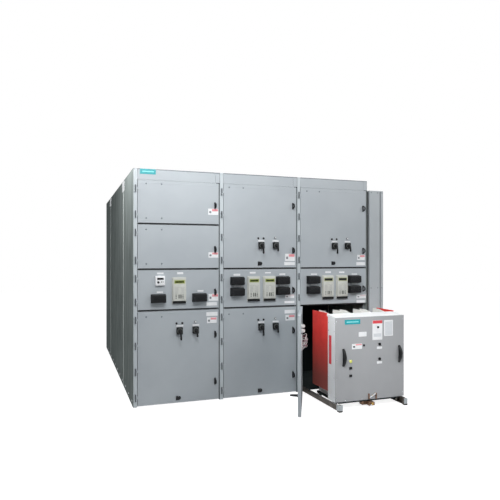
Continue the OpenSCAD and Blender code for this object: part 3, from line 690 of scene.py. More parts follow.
def piece(name, parts, body="cabinet", replaces=()):
    """Joins (shape, finish) pairs, in millimetres, into one smooth-shaded object on a body."""
    finishes = list(dict.fromkeys(finish for _, finish in parts))
    starts = np.cumsum([0] + [len(shape[0]) for shape, _ in parts])
    faces = [
        tuple(i + start for i in face)
        for (shape, _), start in zip(parts, starts.tolist())
        for face in shape[1]
    ]
    owner = [finishes.index(finish) for shape, finish in parts for _ in shape[1]]
    mesh = bpy.data.meshes.new(name)
    mesh.from_pydata((np.vstack([shape[0] for shape, _ in parts]) * MM).tolist(), [], faces)
    mesh.polygons.foreach_set("material_index", owner)
    mesh.polygons.foreach_set("use_smooth", [True] * len(faces))
    mesh.set_sharp_from_angle(angle=np.radians(SHARP_ANGLE))
    for finish in finishes:
        mesh.materials.append(finish)
    made = bpy.data.objects.new(name, mesh)
    bpy.context.scene.collection.objects.link(made)
    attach(made, body)
    for node in replaces:
        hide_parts(node)


three_discs = copies(stack(disc(5), [(0, 0), (1, 0)]), np.eye(3))
print("three copies of a disc:", len(three_discs[0]), "points")

# %% [markdown]
# ## Small parts that repeat
# Turned and moulded fittings: dome-headed studs, name plates with a chamfered edge, plain cards,
# indicating lamps. Each is a stack of one outline, drawn once around its own middle with its back
# on the door, and shifted to its place. The door's sheet is 3 mm, so nothing goes deeper than that.

# %% Studs, plates, cards and lamps


def on_door(shape, section, u, z):
    """The shape moved from its own frame to distance u and height z on a section's front."""
    return moved(shape, SECTION_LEFT[section] + u, FRONT, z)


def fitted(section, u, z, parts):
    """The (shape, finish) parts of one fitting, moved to its place on a section's front."""
    return [(on_door(shape, section, u, z), finish) for shape, finish in parts]


def plate(width, height, thick=2.0, back=0.0):
    """A flat plate with rounded corners and a half-millimetre chamfer round its face."""
    return stack(
        rounded(width, height, min(3, height / 3)),
        [(back, 0), (back + thick - 0.6, 0), (back + thick, 0.6)],
    )


def dome(radius, height, steps=16, back=0.0):
    """A dome head: the inset follows a quarter circle as the depth grows."""
    turn = np.linspace(0, np.pi / 2 * 0.96, 5)
    levels = np.stack([back + height * np.sin(turn), radius * (1 - np.cos(turn))], -1)
    return stack(disc(radius, steps), [(back, 0), *levels[1:]])


def card(width, height, red, pink):
    """A plain card as parts: white plate, a band of that share of its height, and a grey patch."""
    band = plate(width * 0.6, height * red, 0.6, 2.0)
    patch = plate(width * 0.2, height * 0.34, 0.4, 2.0)
    return [
        (plate(width, height), white_card),
        (moved(band, width * 0.17, 0, height * (0.45 - red / 2)), pink),
        (moved(patch, -width * 0.3, 0, -height * 0.06), print_grey),
    ]


LAMP_R = 11
lamp_bezel = stack(disc(LAMP_R), [(0, 0), (5.5, 0), (7, 1.5), (7, 3)])
lamp_lens = stack(disc(LAMP_R - 2.6), [(5, 0), (9.5, 0.3), (11.5, 1.6), (12.6, 3.6), (13, 6)])
plug = dome(9, 4)
print("small parts:", len(lamp_bezel[0]), len(lamp_lens[0]), len(plug[0]), "points")

# %% [markdown]
# ## Door handles
# Each door is closed by a black phenolic bow: a rounded bar that rises from its foot plate, runs
# level under the fingers and comes back. It is a sweep. The path rises with one minus the third
# power of the distance from the middle, so the bow is flat in its middle and steep at its feet.

# %% Handles
HANDLE_LEN = 74
HANDLE_W = 16
HANDLE_OUT = 46


def bow(length, out, outline, power=3.0):
    """A bow: out * (1 - |s|^power), s from -1 to 1 along z, swept with that outline."""
    s = np.linspace(-1, 1, 21)
    path = np.stack([np.zeros_like(s), -out * (1 - np.abs(s) ** power) - 1, s * length / 2], -1)
    return sweep(outline, path, scale=1 - 0.16 * s**2)


def handle_parts(section, z):
    """A door handle: the foot plate and the bow."""
    u = high("section1_upper_handle")[0] - HANDLE_W / 2 - SECTION_LEFT[1]
    foot = stack(rounded(HANDLE_W, HANDLE_LEN, 6), [(0, 0), (3, 0), (4.5, 1.5)])
    grip = bow(HANDLE_LEN - 12, HANDLE_OUT - 7, rounded(14.5, 10, 4))
    return fitted(section, u, z, [(foot, phenolic), (grip, phenolic)])


PLAIN_DOORS = [(1, "upper"), (1, "middle"), *((s, "instrument") for s in (1, 2, 3))]
for section, door in PLAIN_DOORS:
    node = f"section{section}_{door}_handle"
    parts = handle_parts(section, middle_z(node))
    piece(node + "_bow", parts, body_of(section, door), [node])

# %% [markdown]
# ## Control switches
# A breaker is closed and opened by a pistol-grip switch: a square moulded base, a round collar,
# and a grip that comes out of the collar and bends down. The grip is an oval carried along a
# bent path, and swells a little towards its end, so that a gloved hand can hold it.

# %% Switches, lamps and racking ports
# distances u of the two switches and of the racking port
SWITCH_A = 473
SWITCH_B = 645
PORT_U = 462
SWITCH_W = 64
# the lamps' height over a switch, and half the distance between a pair
LAMP_UP = 78
LAMP_HALF = 31


def switch_parts(section, u, z, reach, lean):
    """One control switch: base, dial, collar, and a grip that hangs reach below, leaning right."""
    base = stack(rounded(SWITCH_W, SWITCH_W + 8, 6), [(0, 0), (27, 0), (31, 2), (32, 6)])
    dial = stack(disc(29), [(31.5, 0), (34, 0), (35, 1)])
    collar = stack(disc(23), [(34, 0), (42, 1), (48, 2), (50, 5)])
    drop = [(-44, 4), (-60, 1), (-66, -0.3 * reach), (-65, -0.7 * reach), (-61, -reach)]
    path = curve_through([(0, out, down) for out, down in drop], 20)
    along, width = [0, 0.2, 0.5, 0.85, 0.95, 1], [1, 0.95, 0.8, 1, 0.9, 0.6]
    swell = np.interp(np.linspace(0, 1, 20), along, width)
    grip = turned(sweep(rounded(20, 17, 7), path, scale=swell), lean)
    parts = [(base, phenolic), (dial, key_rubber), (collar, phenolic), (grip, phenolic)]
    name_plate = fitted(section, u + 4, z + 50, [(plate(74, 17), white_card)])
    return fitted(section, u, z, parts) + name_plate


def lamp_parts(section, u, z, lens):
    """An indicating lamp: black bezel and lens."""
    return fitted(section, u, z, [(lamp_bezel, gloss_black), (lamp_lens, lens)])


def port_parts(section, z):
    """A racking port: a cover of D outline, flat side left, with a pivot and a raised lip."""
    outline = np.vstack([disc(21, 16, -np.pi / 2, np.pi / 2) + (6, 0), [(-25, 21), (-25, -21)]])
    lip = stack(outline, [(0, 0), (3, 0), (4, 1)])
    cover = stack(outline * 0.86, [(4, 0), (10, 0), (12, 2.5)])
    pivot = moved(dome(4, 3, 12), 0, -9, 16)
    return fitted(section, PORT_U, z, [(lip, phenolic), (cover, phenolic), (pivot, bright_screw)])


def breaker_door_parts(section, floor_z, switch_z):
    """All fittings on a breaker compartment's door, from its bottom level floor_z."""
    parts = handle_parts(section, floor_z + 197) + handle_parts(section, floor_z + 694)
    parts += switch_parts(section, SWITCH_A, switch_z, 91, 4)
    parts += switch_parts(section, SWITCH_B, switch_z, 66, 6)
    parts += lamp_parts(section, SWITCH_A - LAMP_HALF, switch_z + LAMP_UP, lens_dark)
    parts += lamp_parts(section, SWITCH_A + LAMP_HALF, switch_z + LAMP_UP, lens_dark)
    parts += lamp_parts(section, SWITCH_B, switch_z + LAMP_UP + 7, lens_white)
    return parts + port_parts(section, floor_z + 54)


# the bottom levels of the two rows of breaker doors
LOWER_FLOOR = 6.5
UPPER_FLOOR = low("section2_upper_door")[2] - HALF_GAP
lower, upper = ("lower", LOWER_FLOOR, 757), ("upper", UPPER_FLOOR, UPPER_FLOOR + 252)
for section, (door, floor_z, switch_z) in ((1, lower), (2, lower), (2, upper), (3, upper)):
    node = f"section{section}_{door}_controls"
    parts = breaker_door_parts(section, floor_z, switch_z)
    piece(node + "_fitted", parts, body_of(section, door), [node])
print("control sets: 4, each of", len(parts), "parts")

# %% [markdown]
# ## Relays, meter and test blocks
# The instrument doors carry the protection. A relay is a cream ABS case in a flange, with a small
# olive display at the top, a row of lamps, and a keypad low down. A test block is a black cover
# held by two thumb nuts over ten knife switches, which show as ribs on the cover.

# %% Instruments
# the width and height of a relay's flange
RELAY_W = 150
RELAY_H = 272


def relay_parts(section, u, z, screen):
    """One relay: flange, case, display, lamps, keys, and a terminal strip below, partly painted
    shade.
    """
    flange = stack(rounded(RELAY_W, RELAY_H, 6), [(0, 0), (6, 0), (7.5, 1.5)])
    case = stack(rounded(RELAY_W - 12, RELAY_H - 34, 8), [(7, 0), (21, 0), (24.5, 1.5), (25.5, 4)])
    bezel = plate(RELAY_W - 32, 44, 0.8, 25)
    window = plate(104, 28, 1.2, 25.2)
    digits = plate(88, 13, 0.6, 26.1)
    keys = [(x, 0, up) for up in (-46, -62, -78) for x in (-36, 36)]
    keys = copies(plate(15, 9, 1.4, 24.6), keys)
    rows = copies(plate(13, 42, 0.9, 25), [(-6, 0, -62), (14, 0, -62)])
    lamps = copies(dome(2.6, 1.6, 10, 24.8), [(x, 0, 34) for x in np.linspace(-46, 46, 8)])
    # the terminal strip is black: partly its own colour, partly painted shade under the case
    strip = plate(RELAY_W - 10, 23, 18, 2)
    lines = [(x, 0, up) for x in (-32, 30) for up in (20, 8, -4, -16, -28)]
    parts = [
        (flange, relay_abs), (moved(case, 0, 0, 11), relay_abs),
        (moved(bezel, 0, 0, 90), relay_bezel), (moved(window, 0, 0, 90), screen),
        (keys, key_rubber), (rows, key_rubber), (lamps, key_rubber),
        (moved(digits, 0, 0, 89), gloss_black),
        (moved(dome(6, 2.4, 14, 23), 0, 0, 10), key_rubber),
        (moved(strip, 0, 0, -123), gloss_black),
        (copies(plate(36, 3, 0.5, 25.2), lines), print_grey),
    ]
    return fitted(section, u, z, parts)


def block_parts(section, u, z):
    """A test block: base, ribbed cover and two thumb nuts."""
    base = stack(rounded(156, 90, 5), [(0, 0), (9, 0), (11, 2)])
    cover = stack(rounded(149, 82, 9), [(10, 0), (50, 1), (55, 3), (57, 7)])
    ribs = copies(
        stack(rounded(5, 60, 2.4), [(56, 0), (58, 0.6), (59, 1.6)]),
        [(x, 0, 0) for x in np.linspace(-48, 48, 10)],
    )
    nuts = copies(stack(disc(6.5, 12), [(56, 0), (61, 0.4), (62, 1.4)]), [(-63, 0, 0), (63, 0, 0)])
    parts = [(base, phenolic), (cover, phenolic), (ribs, phenolic), (nuts, black_steel)]
    return fitted(section, u, z, parts)


def meter_parts(section, u, z):
    """The panel meter: white case, dark display, a round selector, a few keys, and painted shade
    below.
    """
    case = stack(rounded(100, 100, 7), [(0, 0), (17, 0), (20.5, 2), (22, 5)])
    window = moved(plate(68, 21, 1, 22), 2, 0, 20)
    selector = moved(stack(disc(12), [(21, 0), (23, 0), (24, 1.5)]), -20, 0, -17)
    keys = copies(plate(8, 15, 1, 22), [(12, 0, -12), (28, 0, -12)])
    # a black strip under the case: painted shade
    shade = moved(plate(96, 5, 14, 2), 0, 0, -47)
    parts = [
        (case, white_card), (window, gloss_black), (selector, gloss_black),
        (keys, key_rubber), (shade, gloss_black),
    ]
    return fitted(section, u, z, parts)


# where each door's test blocks sit, as (u, height over the gap)
BLOCK_SPOTS = {
    1: [(252, 121), (687, 121)],
    2: [(u, up) for u in (194, 730) for up in (171, 288)],
}
BLOCK_SPOTS[3] = BLOCK_SPOTS[2]
RELAY_Z = INSTRUMENT_Z + 200
cases = {1: relay_parts(1, 470, RELAY_Z, lcd_green) + meter_parts(1, 269, INSTRUMENT_Z + 304)}
for section, screen in ((2, lcd_green), (3, lcd_dark)):
    pair = [part for u in (385, 571) for part in relay_parts(section, u, RELAY_Z, screen)]
    cases[section] = pair
for section, spots in BLOCK_SPOTS.items():
    name, door = f"section{section}_", body_of(section, "instrument")
    shown, node = ("instruments", "relay_and_meter") if section == 1 else ("relay_cases", "relays")
    piece(name + shown, cases[section], door, [name + node])
    covers = [part for u, up in spots for part in block_parts(section, u, INSTRUMENT_Z + up)]
    piece(name + "test_covers", covers, door, [name + "test_blocks"])
print("relays: 5, test blocks:", sum(len(spots) for spots in BLOCK_SPOTS.values()))

# %% [markdown]
# ## Plates, cards and studs
# Name plates are white acrylic and blank. The cards under the handles are plain too, each with a
# pink band and a small grey block. The studs are the ends of the stiffeners that are welded
# inside a door, in pairs near its edges.

# %% Plates on each door


def plates_on(section, spots):
    """White name plates: (u, z, width, height) each."""
    return [(on_door(plate(w, h), section, u, z), white_card) for u, z, w, h in spots]


def cards_on(section, spots):
    """Plain cards, the low ones with a faded band: (u, z, width, height) each."""
    parts = []
    for u, z, w, h in spots:
        parts += fitted(section, u, z, card(w, h, 0.36, card_faded if h < 50 else card_pink))
    return parts


def studs_on(section, door, studs):
    """Studs at the ends of a door's stiffeners, and two pressed seams near its edges."""
    node = door_node(section, door)
    bottom, top = low(node)[2], high(node)[2]
    x0, x1 = SECTION_LEFT[section] + 62, SECTION_LEFT[section + 1] - 26
    spots = [(SECTION_LEFT[section] + u, FRONT, z) for u, z in studs]
    seam = stack(rounded(x1 - x0, 5, 2.4), [(0, 0), (0.8, 0.8)])
    seams = copies(seam, [((x0 + x1) / 2, FRONT, z) for z in (bottom + 28, top - 28)])
    return [(copies(plug, spots), stud_paint), (seams, door_paint)]


# plates and cards as (u, z, width, height), then studs as (u, z)
DOOR_FITTINGS = {
    (1, "upper"): (
        [], [(841, 2001, 112, 66)], [(u, z) for z in (2270, 1919) for u in (130, 288)],
    ),
    (1, "middle"): (
        [], [(842, 1543, 109, 57)], [(u, z) for z in (1804, 1453) for u in (129, 288)],
    ),
    (1, "instrument"): (
        [(273, 1353, 69, 17), (482, 1353, 65, 21), (269, 1160, 66, 17), (700, 1165, 66, 18),
         (823, 1025, 115, 37)],
        [(842, 1094, 108, 74)], [],
    ),
    (1, "lower"): ([(826, 918, 124, 41)], [(825, 852, 107, 61)], [(129, 911), (288, 909)]),
    (2, "upper"): (
        [(819, 1448, 131, 35)], [(824, 1517, 118, 82)], [(108, 2270), (267, 2271)],
    ),
    (2, "instrument"): (
        [(193, 1329, 78, 21), (193, 1206, 70, 12), (731, 1206, 70, 12), (731, 1329, 71, 19),
         (376, 1350, 68, 18), (556, 1348, 69, 15), (818, 1018, 123, 25)],
        [(822, 1082, 110, 38)], [],
    ),
    (2, "lower"): ([(822, 911, 129, 40)], [(826, 843, 114, 62)], [(104, 908), (267, 908)]),
    (3, "upper"): (
        [(828, 1443, 119, 38)], [(832, 1515, 103, 62)], [(123, 2270), (282, 2270)],
    ),
    (3, "instrument"): (
        [(212, 1325, 76, 17), (212, 1206, 70, 12), (742, 1206, 70, 12), (742, 1321, 75, 15),
         (393, 1347, 74, 21), (573, 1345, 71, 17), (828, 998, 114, 31)],
        [(834, 1057, 127, 44)], [],
    ),
}
for (section, door), (plates, cards, studs) in DOOR_FITTINGS.items():
    parts = plates_on(section, plates) + cards_on(section, cards) + studs_on(section, door, studs)
    piece(door_node(section, door) + "_plates", parts, body_of(section, door))
print("plated doors:", len(DOOR_FITTINGS))

# %% [markdown]
# ## The open door
# The lower door of section 3 stands open in front of section 2. Its pieces are drawn as if the door
# were shut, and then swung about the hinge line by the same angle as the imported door.
# Its lever stands out level. Inside it carries two round white sockets, a row of terminals and a
# loom of thin wires, each a tube along a smooth path between a terminal and the loom.

# %% Swung pieces
# the door's angle in degrees, its hinge line in plan, and the inner face of its sheet
OPEN_ANGLE = 118.5
HINGE = (SECTION_LEFT[3] + 20, FRONT - 7)
SHEET = 3
DOOR_INSIDE = FRONT + SHEET
# distances u of the sockets and terminals, and of the latch
FITTING_U = 492
LATCH_U = 860


def swung(parts):
    """The parts of the open door, turned about its hinge line in plan."""
    return [(turned(shape, -OPEN_ANGLE, HINGE, (0, 1)), finish) for shape, finish in parts]


def inside(shape, u, z):
    """The shape on the inner face of section 3's lower door, pointing into the cubicle."""
    return moved(facing("back", shape), SECTION_LEFT[3] + u, DOOR_INSIDE, z)


def door_wires(count=9):
    """Thin wires from the terminals up and down the door, each a tube along a bent path."""
    rng = np.random.default_rng(4)
    parts = []
    for k, start in enumerate(np.linspace(-58, 58, count).tolist()):
        a, b, c = rng.uniform(16, 34, 3)
        bends = [
            (450, 24, 650 + start), (450 - a, 40 + b * 1.3, 655 + start * 1.2),
            (450 - b, 26 + c * 1.5, 640 + start * 0.6), (442, 10, 570 - c),
        ]
        tube = sweep(disc(3, 6), curve_through(bends, 14), side=(0, 1, 0))
        finish = wire_pink if k % 3 == 1 else wire_white
        parts.append((moved(tube, SECTION_LEFT[3], DOOR_INSIDE, 0), finish))
    return parts


socket = stack(disc(20), [(0, 0), (42, 0), (50, 2), (56, 6), (60, 13)])
socket_rim = stack(disc(22), [(0, 0), (8, 0), (9, 1)])
strip = stack(rounded(44, 150, 3), [(0, 0), (30, 0), (32, 2)])
screws = copies(dome(5, 3, 10, 32), [(x, 0, z) for x in (-11, 11) for z in np.linspace(-60, 60, 9)])
round_parts = (socket, socket_rim)
parts = [
    (inside(shape, FITTING_U, z), terminal_white) for z in (765, 813) for shape in round_parts
]
parts += [(inside(strip, FITTING_U, 650), terminal_white)]
parts += [(inside(screws, FITTING_U, 650), bright_screw)]
wires = door_wires()
name, door = "section3_door_wiring", "section3_lower_door"
piece(name, swung(parts + wires), door, ["section3_door_terminals"])

lever = turned(stack(rounded(13, 54, 6), [(2, 0), (58, 1.5), (70, 2.5), (76, 5.5)]), 90)
foot = turned(stack(rounded(16, 74, 6), [(0, 0), (3, 0), (4.5, 1.5)]), 90)
cam = stack(rounded(34, 28, 6), [(0, 0), (16, 0), (20, 4)])
latch_z = LOWER_FLOOR + 197
parts = fitted(3, LATCH_U, latch_z, [(lever, phenolic), (foot, phenolic)])
parts += [(inside(cam, LATCH_U + 7, latch_z), black_steel)]
pin = stack(disc(9, 14), [(0, 0), (20, 1), (22, 3)])
pin_z = (LOWER_FLOOR + 60, LOWER_FLOOR + 694, latch_z + 44)
parts += [(inside(pin, LATCH_U - 22, z), black_steel) for z in pin_z]
piece("section3_open_latch", swung(parts), door, ["section3_lower_latch"])

hat = stack(rounded(46, 880, 3), [(0, 0), (9, 0), (12, 8), (18, 9), (19, 10)])
parts = [(inside(hat, u, 476), door_paint) for u in (200, 700)]
piece("section3_door_stiffeners", swung(parts), door)
print("open door dressed, wires:", len(wires))

# %% [markdown]
# ## The breaker's front
# The drawout breaker has a flat sheet front with two grab handles, two push-buttons, a charge
# indicator and two counters. A grab handle is a solid moulded crescent: the outline between two
# parabolas, stacked sideways with softened edges. The plates and cards are left without print.

# %% Breaker front
PANEL_X, PANEL_Y, PANEL_Z = low("breaker_front_panel")
PANEL_W = high("breaker_front_panel")[0] - PANEL_X
PANEL_TOP = high("breaker_front_panel")[2]


def on_panel(shape, u, z):
    """The shape at u from the panel's left edge and height z, on the breaker's front."""
    return moved(shape, PANEL_X + u, PANEL_Y, z)


def grab_handle():
    """A solid crescent 26 mm wide: outer side 2 + 40 (1 - s^2), back 0.5 + 9 (1 - s^2)."""
    s = np.linspace(-1, 1, 25)
    outer = np.stack([2 + 40 * (1 - s**2), 88 * s], -1)
    back = np.stack([0.5 + 9 * (1 - s**2), 84 * s], -1)[::-1]
    levels = [(0, 3), (1.5, 0.6), (3, 0), (23, 0), (24.5, 0.6), (26, 3)]
    return moved(facing("left", stack(np.vstack([outer, back]), levels)), 13, 0, 0)


foot = stack(rounded(22, 24, 6), [(0, 0), (5, 0), (7, 2)])
button = stack(disc(15), [(0, 0), (7, 0), (8, 1), (8, 4), (13, 4), (14, 5.5)])
counter = stack(rounded(32, 24, 3), [(0, 0), (5, 0), (6, 1.2)])
rim = stack(disc(19), [(0, 0), (4, 0), (5.5, 2), (5.5, 4)])
# heights of the two push-buttons and of the two counters
BUTTON_Z = (633, 483)
COUNTER_Z = (412, 335)
# each fitting as (shape, finish, u, z)
controls = []
for u in (93, 753):
    controls += [(grab_handle(), phenolic, u, 521)]
    controls += [(foot, phenolic, u, 521 + rise) for rise in (-77, 77)]
controls += [(button, gloss_black, 514, z) for z in BUTTON_Z]
controls += [(counter, phenolic, 174, z) for z in COUNTER_Z]
controls += [(plate(20, 11, 0.5, 5.6), gloss_black, 174, z) for z in COUNTER_Z]
controls += [(rim, breaker_paint, 174, 479), (dome(17.5, 4, 24, 4), indicator_yellow, 174, 479)]
parts = [(on_panel(shape, u, z), finish) for shape, finish, u, z in controls]
piece("breaker_controls", parts, "breaker_truck", ["breaker_fittings"])

plates = [(plate(178, 48), teal_enamel, 197, 872), (plate(138, 13, 0.4, 2), teal_light, 197, 872)]
plates += [(plate(62, 26), white_card, 514, z - 36) for z in BUTTON_Z]
plates += [(plate(92, 47), white_card, 314, 743)]
plates += [(shape, finish, 248, 624) for shape, finish in card(117, 53, 0.24, card_pink)]
plates += [
    (plate(118, 199), white_card, 489, 777), (plate(116, 31, 0.5, 2), card_red, 489, 860),
    (plate(26, 22, 0.3, 2), phenolic, 496, 806), (plate(94, 34, 0.3, 2), print_faint, 489, 726),
    (plate(108, 163), white_card, 623, 793), (plate(88, 140, 0.3, 2), print_faint, 623, 790),
    (stack(disc(10, 18), [(0, 0), (9, 0), (11, 2)]), phenolic, 328, 632),
    (dome(7, 3, 14, 2), phenolic, 212, 624),
]
parts = [(on_panel(shape, u, z), finish) for shape, finish, u, z in plates]
piece("breaker_plates", parts, "breaker_truck")

upright = np.linspace(PANEL_Z + 40, PANEL_TOP - 40, 5)
edge = [(PANEL_X + u, PANEL_Y, z) for u in (14, PANEL_W - 14) for z in upright]
edge += [(PANEL_X + u, PANEL_Y, PANEL_Z + 14) for u in np.linspace(110, PANEL_W - 110, 4)]
piece("breaker_panel_screws", [(copies(dome(5, 3, 12), edge), bright_screw)], "breaker_truck")
print("breaker front:", len(parts), "plates and cards,", len(edge), "screws")

# %% [markdown]
# ## Under and behind the breaker's front
# Under the panel is the racking screw: an oily steel block with a brass nut, and a spring latch
# over it. The housing's left side carries a plain red strip. Behind, each pole ends in a moulded
# cap and copper terminal, and each contact arm in a cluster of spring fingers: one finger is
# modelled, and turned to each place round the arm.

# %% Racking unit, strip and poles


def finger_cluster(x, y, z, radius=42, fingers=18):
    """Contact fingers round an arm: one bent bar, turned to each angle about the arm's axis."""
    bends = [(0, -8), (14, -4), (40, -3), (62, -9), (68, -4)]
    path = curve_through([(0, along, radius + rise) for along, rise in bends], 10)
    finger = sweep(rounded(9, 5, 1.5, 2), path)
    angles = np.linspace(0, 360, fingers, endpoint=False)
    return [(moved(turned(finger, a), x, y, z), silvered_copper) for a in angles.tolist()]


rack_u = high("racking_unit")[0] - 35
rack_low, rack_z = low("racking_unit")[2], middle_z("racking_unit")
rack_h = high("racking_unit")[2] - rack_low
body = stack(rounded(70, rack_h, 4), [(0, 0), (44, 0), (46, 2)])
carriage = stack(rounded(110, rack_h, 5), [(0, 0), (46, 0), (48, 2)])
nut = stack(disc(13, 6), [(0, 0), (12, 0), (13.5, 2)])
stem = stack(disc(7, 20), [(0, 0), (20, 0), (21.5, 1.5)])
parts = [
    (moved(body, rack_u, PANEL_Y + 12, rack_z), oiled_steel),
    (moved(carriage, rack_u - 30, PANEL_Y + 60, rack_z), oiled_steel),
    (moved(nut, rack_u, PANEL_Y - 33.5, rack_low + 22), brass),
    (moved(stem, rack_u - 20, PANEL_Y - 33, rack_low + 12), bright_screw),
]
piece("racking_screw", parts, "breaker_truck", ["racking_unit"])

link = stack(rounded(86, 12, 5), [(2, 0), (7, 0), (8, 1)])
guide = stack(rounded(14, 58, 5), [(0, 0), (9, 0), (10, 1)])
parts = [(turned(on_panel(link, 429, 116), 26, (PANEL_X + 429, 116)), bright_screw)]
parts += [(on_panel(guide, 386, 112), oiled_steel), (on_panel(guide, 470, 110), oiled_steel)]
parts += [(on_panel(dome(9, 9, 16), u, z), brass) for u, z in ((392, 98), (466, 134), (429, 116))]
piece("racking_latch", parts, "breaker_truck")

# the middle of the housing's side, from the panel's back 3 mm in to 140 mm behind its front
side_y = (PANEL_Y + 3 + PANEL_Y + 140) / 2
red_strip = facing("left", plate(46, 288, 1.6))
side_screw = facing("left", dome(5, 3, 12))
spots = [(PANEL_X, side_y + dy, z) for dy in (-52, 52) for z in (130, 320, 780, 860)]
parts = [(moved(red_strip, PANEL_X, side_y + 24, 589), card_red)]
parts += [(copies(side_screw, spots), bright_screw)]
piece("housing_side_trim", parts, "breaker_truck")

# the distance from pole to pole, and the heights of the contact arms
POLE_PITCH = 254
ARM_Z = (390, 730)
cap = facing("up", stack(disc(54, 32), [(0, 0), (10, 0), (16, 5), (18, 12)]))
turret = facing("up", stack(disc(20, 20), [(0, 0), (34, 1), (36, 4)]))
bar = facing("up", stack(rounded(40, 26, 3), [(0, 0), (46, 0), (48, 2)]))
# the poles stand 74 mm before the rear of their node, and the fingers begin 70 mm before the tips
pole_y, pole_top = high("breaker_poles")[1] - 74, high("breaker_poles")[2]
tip_y = high("primary_disconnects")[1] - 70
pole_parts, tip_parts = [], []
for side in (-1, 0, 1):
    x = PANEL_X + PANEL_W / 2 + side * POLE_PITCH
    pole_parts += [
        (moved(cap, x, pole_y, pole_top), cast_epoxy),
        (moved(turret, x - 20, pole_y, pole_top + 16), brass),
        (moved(bar, x + 24, pole_y + 8, pole_top + 10), silvered_copper),
    ]
    for z in ARM_Z:
        tip_parts += finger_cluster(x, tip_y, z)
piece("pole_terminals", pole_parts, "breaker_truck")
piece("finger_clusters", tip_parts, "breaker_truck")
print("fingers:", len(tip_parts))

# %% [markdown]
# ## Wheels, rails and feet
# The truck's wheels are turned steel with a raised hub and an axle end. The rails stand on rubber
# feet at their front, where a light grey cover closes each end, and a bright nickel lip runs along
# their upper edge, lighter than the rail.

# %% Running gear
wheel_low, wheel_high = low("truck_wheels"), high("truck_wheels")
hub = facing("left", stack(disc(15, 24), [(0, 0), (2, 0), (3, 1.2)]))
nut = facing("left", stack(disc(9, 6), [(3, 0), (4.6, 0), (5.4, 1)]))
left, right = (
    [(x, y, middle_z("truck_wheels")) for y in (wheel_low[1] + 25, wheel_high[1] - 25)]
    for x in (wheel_low[0], wheel_high[0])
)
turning = ((hub, zinc_plate), (nut, black_steel))
parts = [(copies(shape, left), finish) for shape, finish in turning]
parts += [(copies(facing("back", shape), right), finish) for shape, finish in turning]
piece("wheel_hubs", parts, "breaker_truck")

RAIL_LOW, RAIL_HIGH = low("extension_rails"), high("extension_rails")
RAIL_W = 42
# the levels of a cover 3 mm deep with a small bevel
FLAT_COVER = [(0, 0), (2, 0), (3, 1)]


def on_rails(shape, inset, y, z):
    """The shape on both rails, inset from their outer sides."""
    return copies(shape, [(x, y, z) for x in (RAIL_LOW[0] + inset, RAIL_HIGH[0] - inset)])


foot = facing("up", stack(disc(19, 24), [(0, 2), (5, 0), (12, 0), (14, 2)]))
piece("rail_feet", [(on_rails(foot, 18, RAIL_LOW[1] + 18, 0.5), rubber)])

leg = moved(stack(rounded(RAIL_W, 58, 3), FLAT_COVER), 0, 0, 44)
shoe = moved(stack(rounded(RAIL_W, 14, 3), FLAT_COVER), 0, 0, 8)
side = facing("left", stack(rounded(44, 58, 3), FLAT_COVER))
parts = [(on_rails(leg, RAIL_W / 2, RAIL_LOW[1], 0), column_paint)]
parts += [(on_rails(shoe, RAIL_W / 2, RAIL_LOW[1], 0), rubber)]
parts += [(moved(side, RAIL_LOW[0], RAIL_LOW[1] + 22, 44), column_paint)]
piece("rail_end_covers", parts)

lip_start = RAIL_LOW[1] + 36
lip_length = RAIL_HIGH[1] - RAIL_LOW[1] - 36
lip = moved(facing("back", stack(rounded(6, 3, 1.2), [(0, 0), (lip_length, 0)])), 0, lip_start, 0)
parts = [(on_rails(lip, 2, 0, RAIL_HIGH[2] + 1), bright_screw)]
piece("rail_lips", parts)
print("rails:", round(lip_length), "mm")

# %% [markdown]
# ## Trim of the line-up
# A blank teal plate on the first header, bolt heads low on the end wall, white caps over the wall's
# joints, pale strips of painted highlight in the gaps under the headers, mid-grey strips in the
# latch gaps, and black strips of painted shade in the gaps between the doors and along their edges.

# %% Trim
header = [(plate(162, 54), teal_enamel), (plate(120, 14, 0.4, 2), teal_light)]
piece("header_nameplate", fitted(1, 146, 2391, header))

WALL_X = low("left_end_wall")[0] + 3
bolt = facing("left", dome(11, 2.8, 12))
feet = [(WALL_X, y, 48) for y in np.linspace(FRONT + 90, BACK - 90, 12)]
piece("wall_bolts", [(copies(bolt, feet), bright_screw)])


def each_section(shape, u, y, z):
    """The shape in every section, at distance u, depth y and height z."""
    return copies(shape, [(SECTION_LEFT[s] + u, y, z) for s in (1, 2, 3)])


COLUMN_X, COLUMN_TOP = low("right_end_column")[0], high("right_end_column")[2]
cap = facing("left", stack(rounded(200, 118, 3), [(0, 0), (2, 0), (2.8, 0.8)]))
caps = copies(cap, [(WALL_X, y + 10, ROOF - 62) for y in WALL_SEAMS])
door_top = high("section1_upper_door")[2]
# a pale strip in each gap under a header: painted highlight for the header's bright folded edge
header_gap_highlight = stack(rounded(SECTION_W - 90, HEADER_Z - door_top - 2, 1), [(-8, 0), (0, 0), (0.4, 0.4)])
header_gap_highlights = each_section(header_gap_highlight, SECTION_W / 2 + 5, FRONT + 1, (HEADER_Z + door_top) / 2)
edge = stack(rounded(12, HEADER_Z - 20, 1), [(-10, 0), (2, 0)])
edges = copies(edge, [(SECTION_LEFT[s + 1] - 5, FRONT + 5, HEADER_Z / 2) for s in (1, 2)])
gaps = [*PLAIN_DOORS, (2, "upper"), (3, "upper")]
gaps = [(s, low(door_node(s, door))[2] - HALF_GAP) for s, door in gaps]
# black strips in the gaps between the doors: painted shade
dark = stack(rounded(SECTION_W - 70, 7, 1), [(-8, 0), (0, 0)])
gap_shade_strips = copies(dark, [(SECTION_LEFT[s] + SECTION_W / 2, FRONT + 6, z) for s, z in gaps])
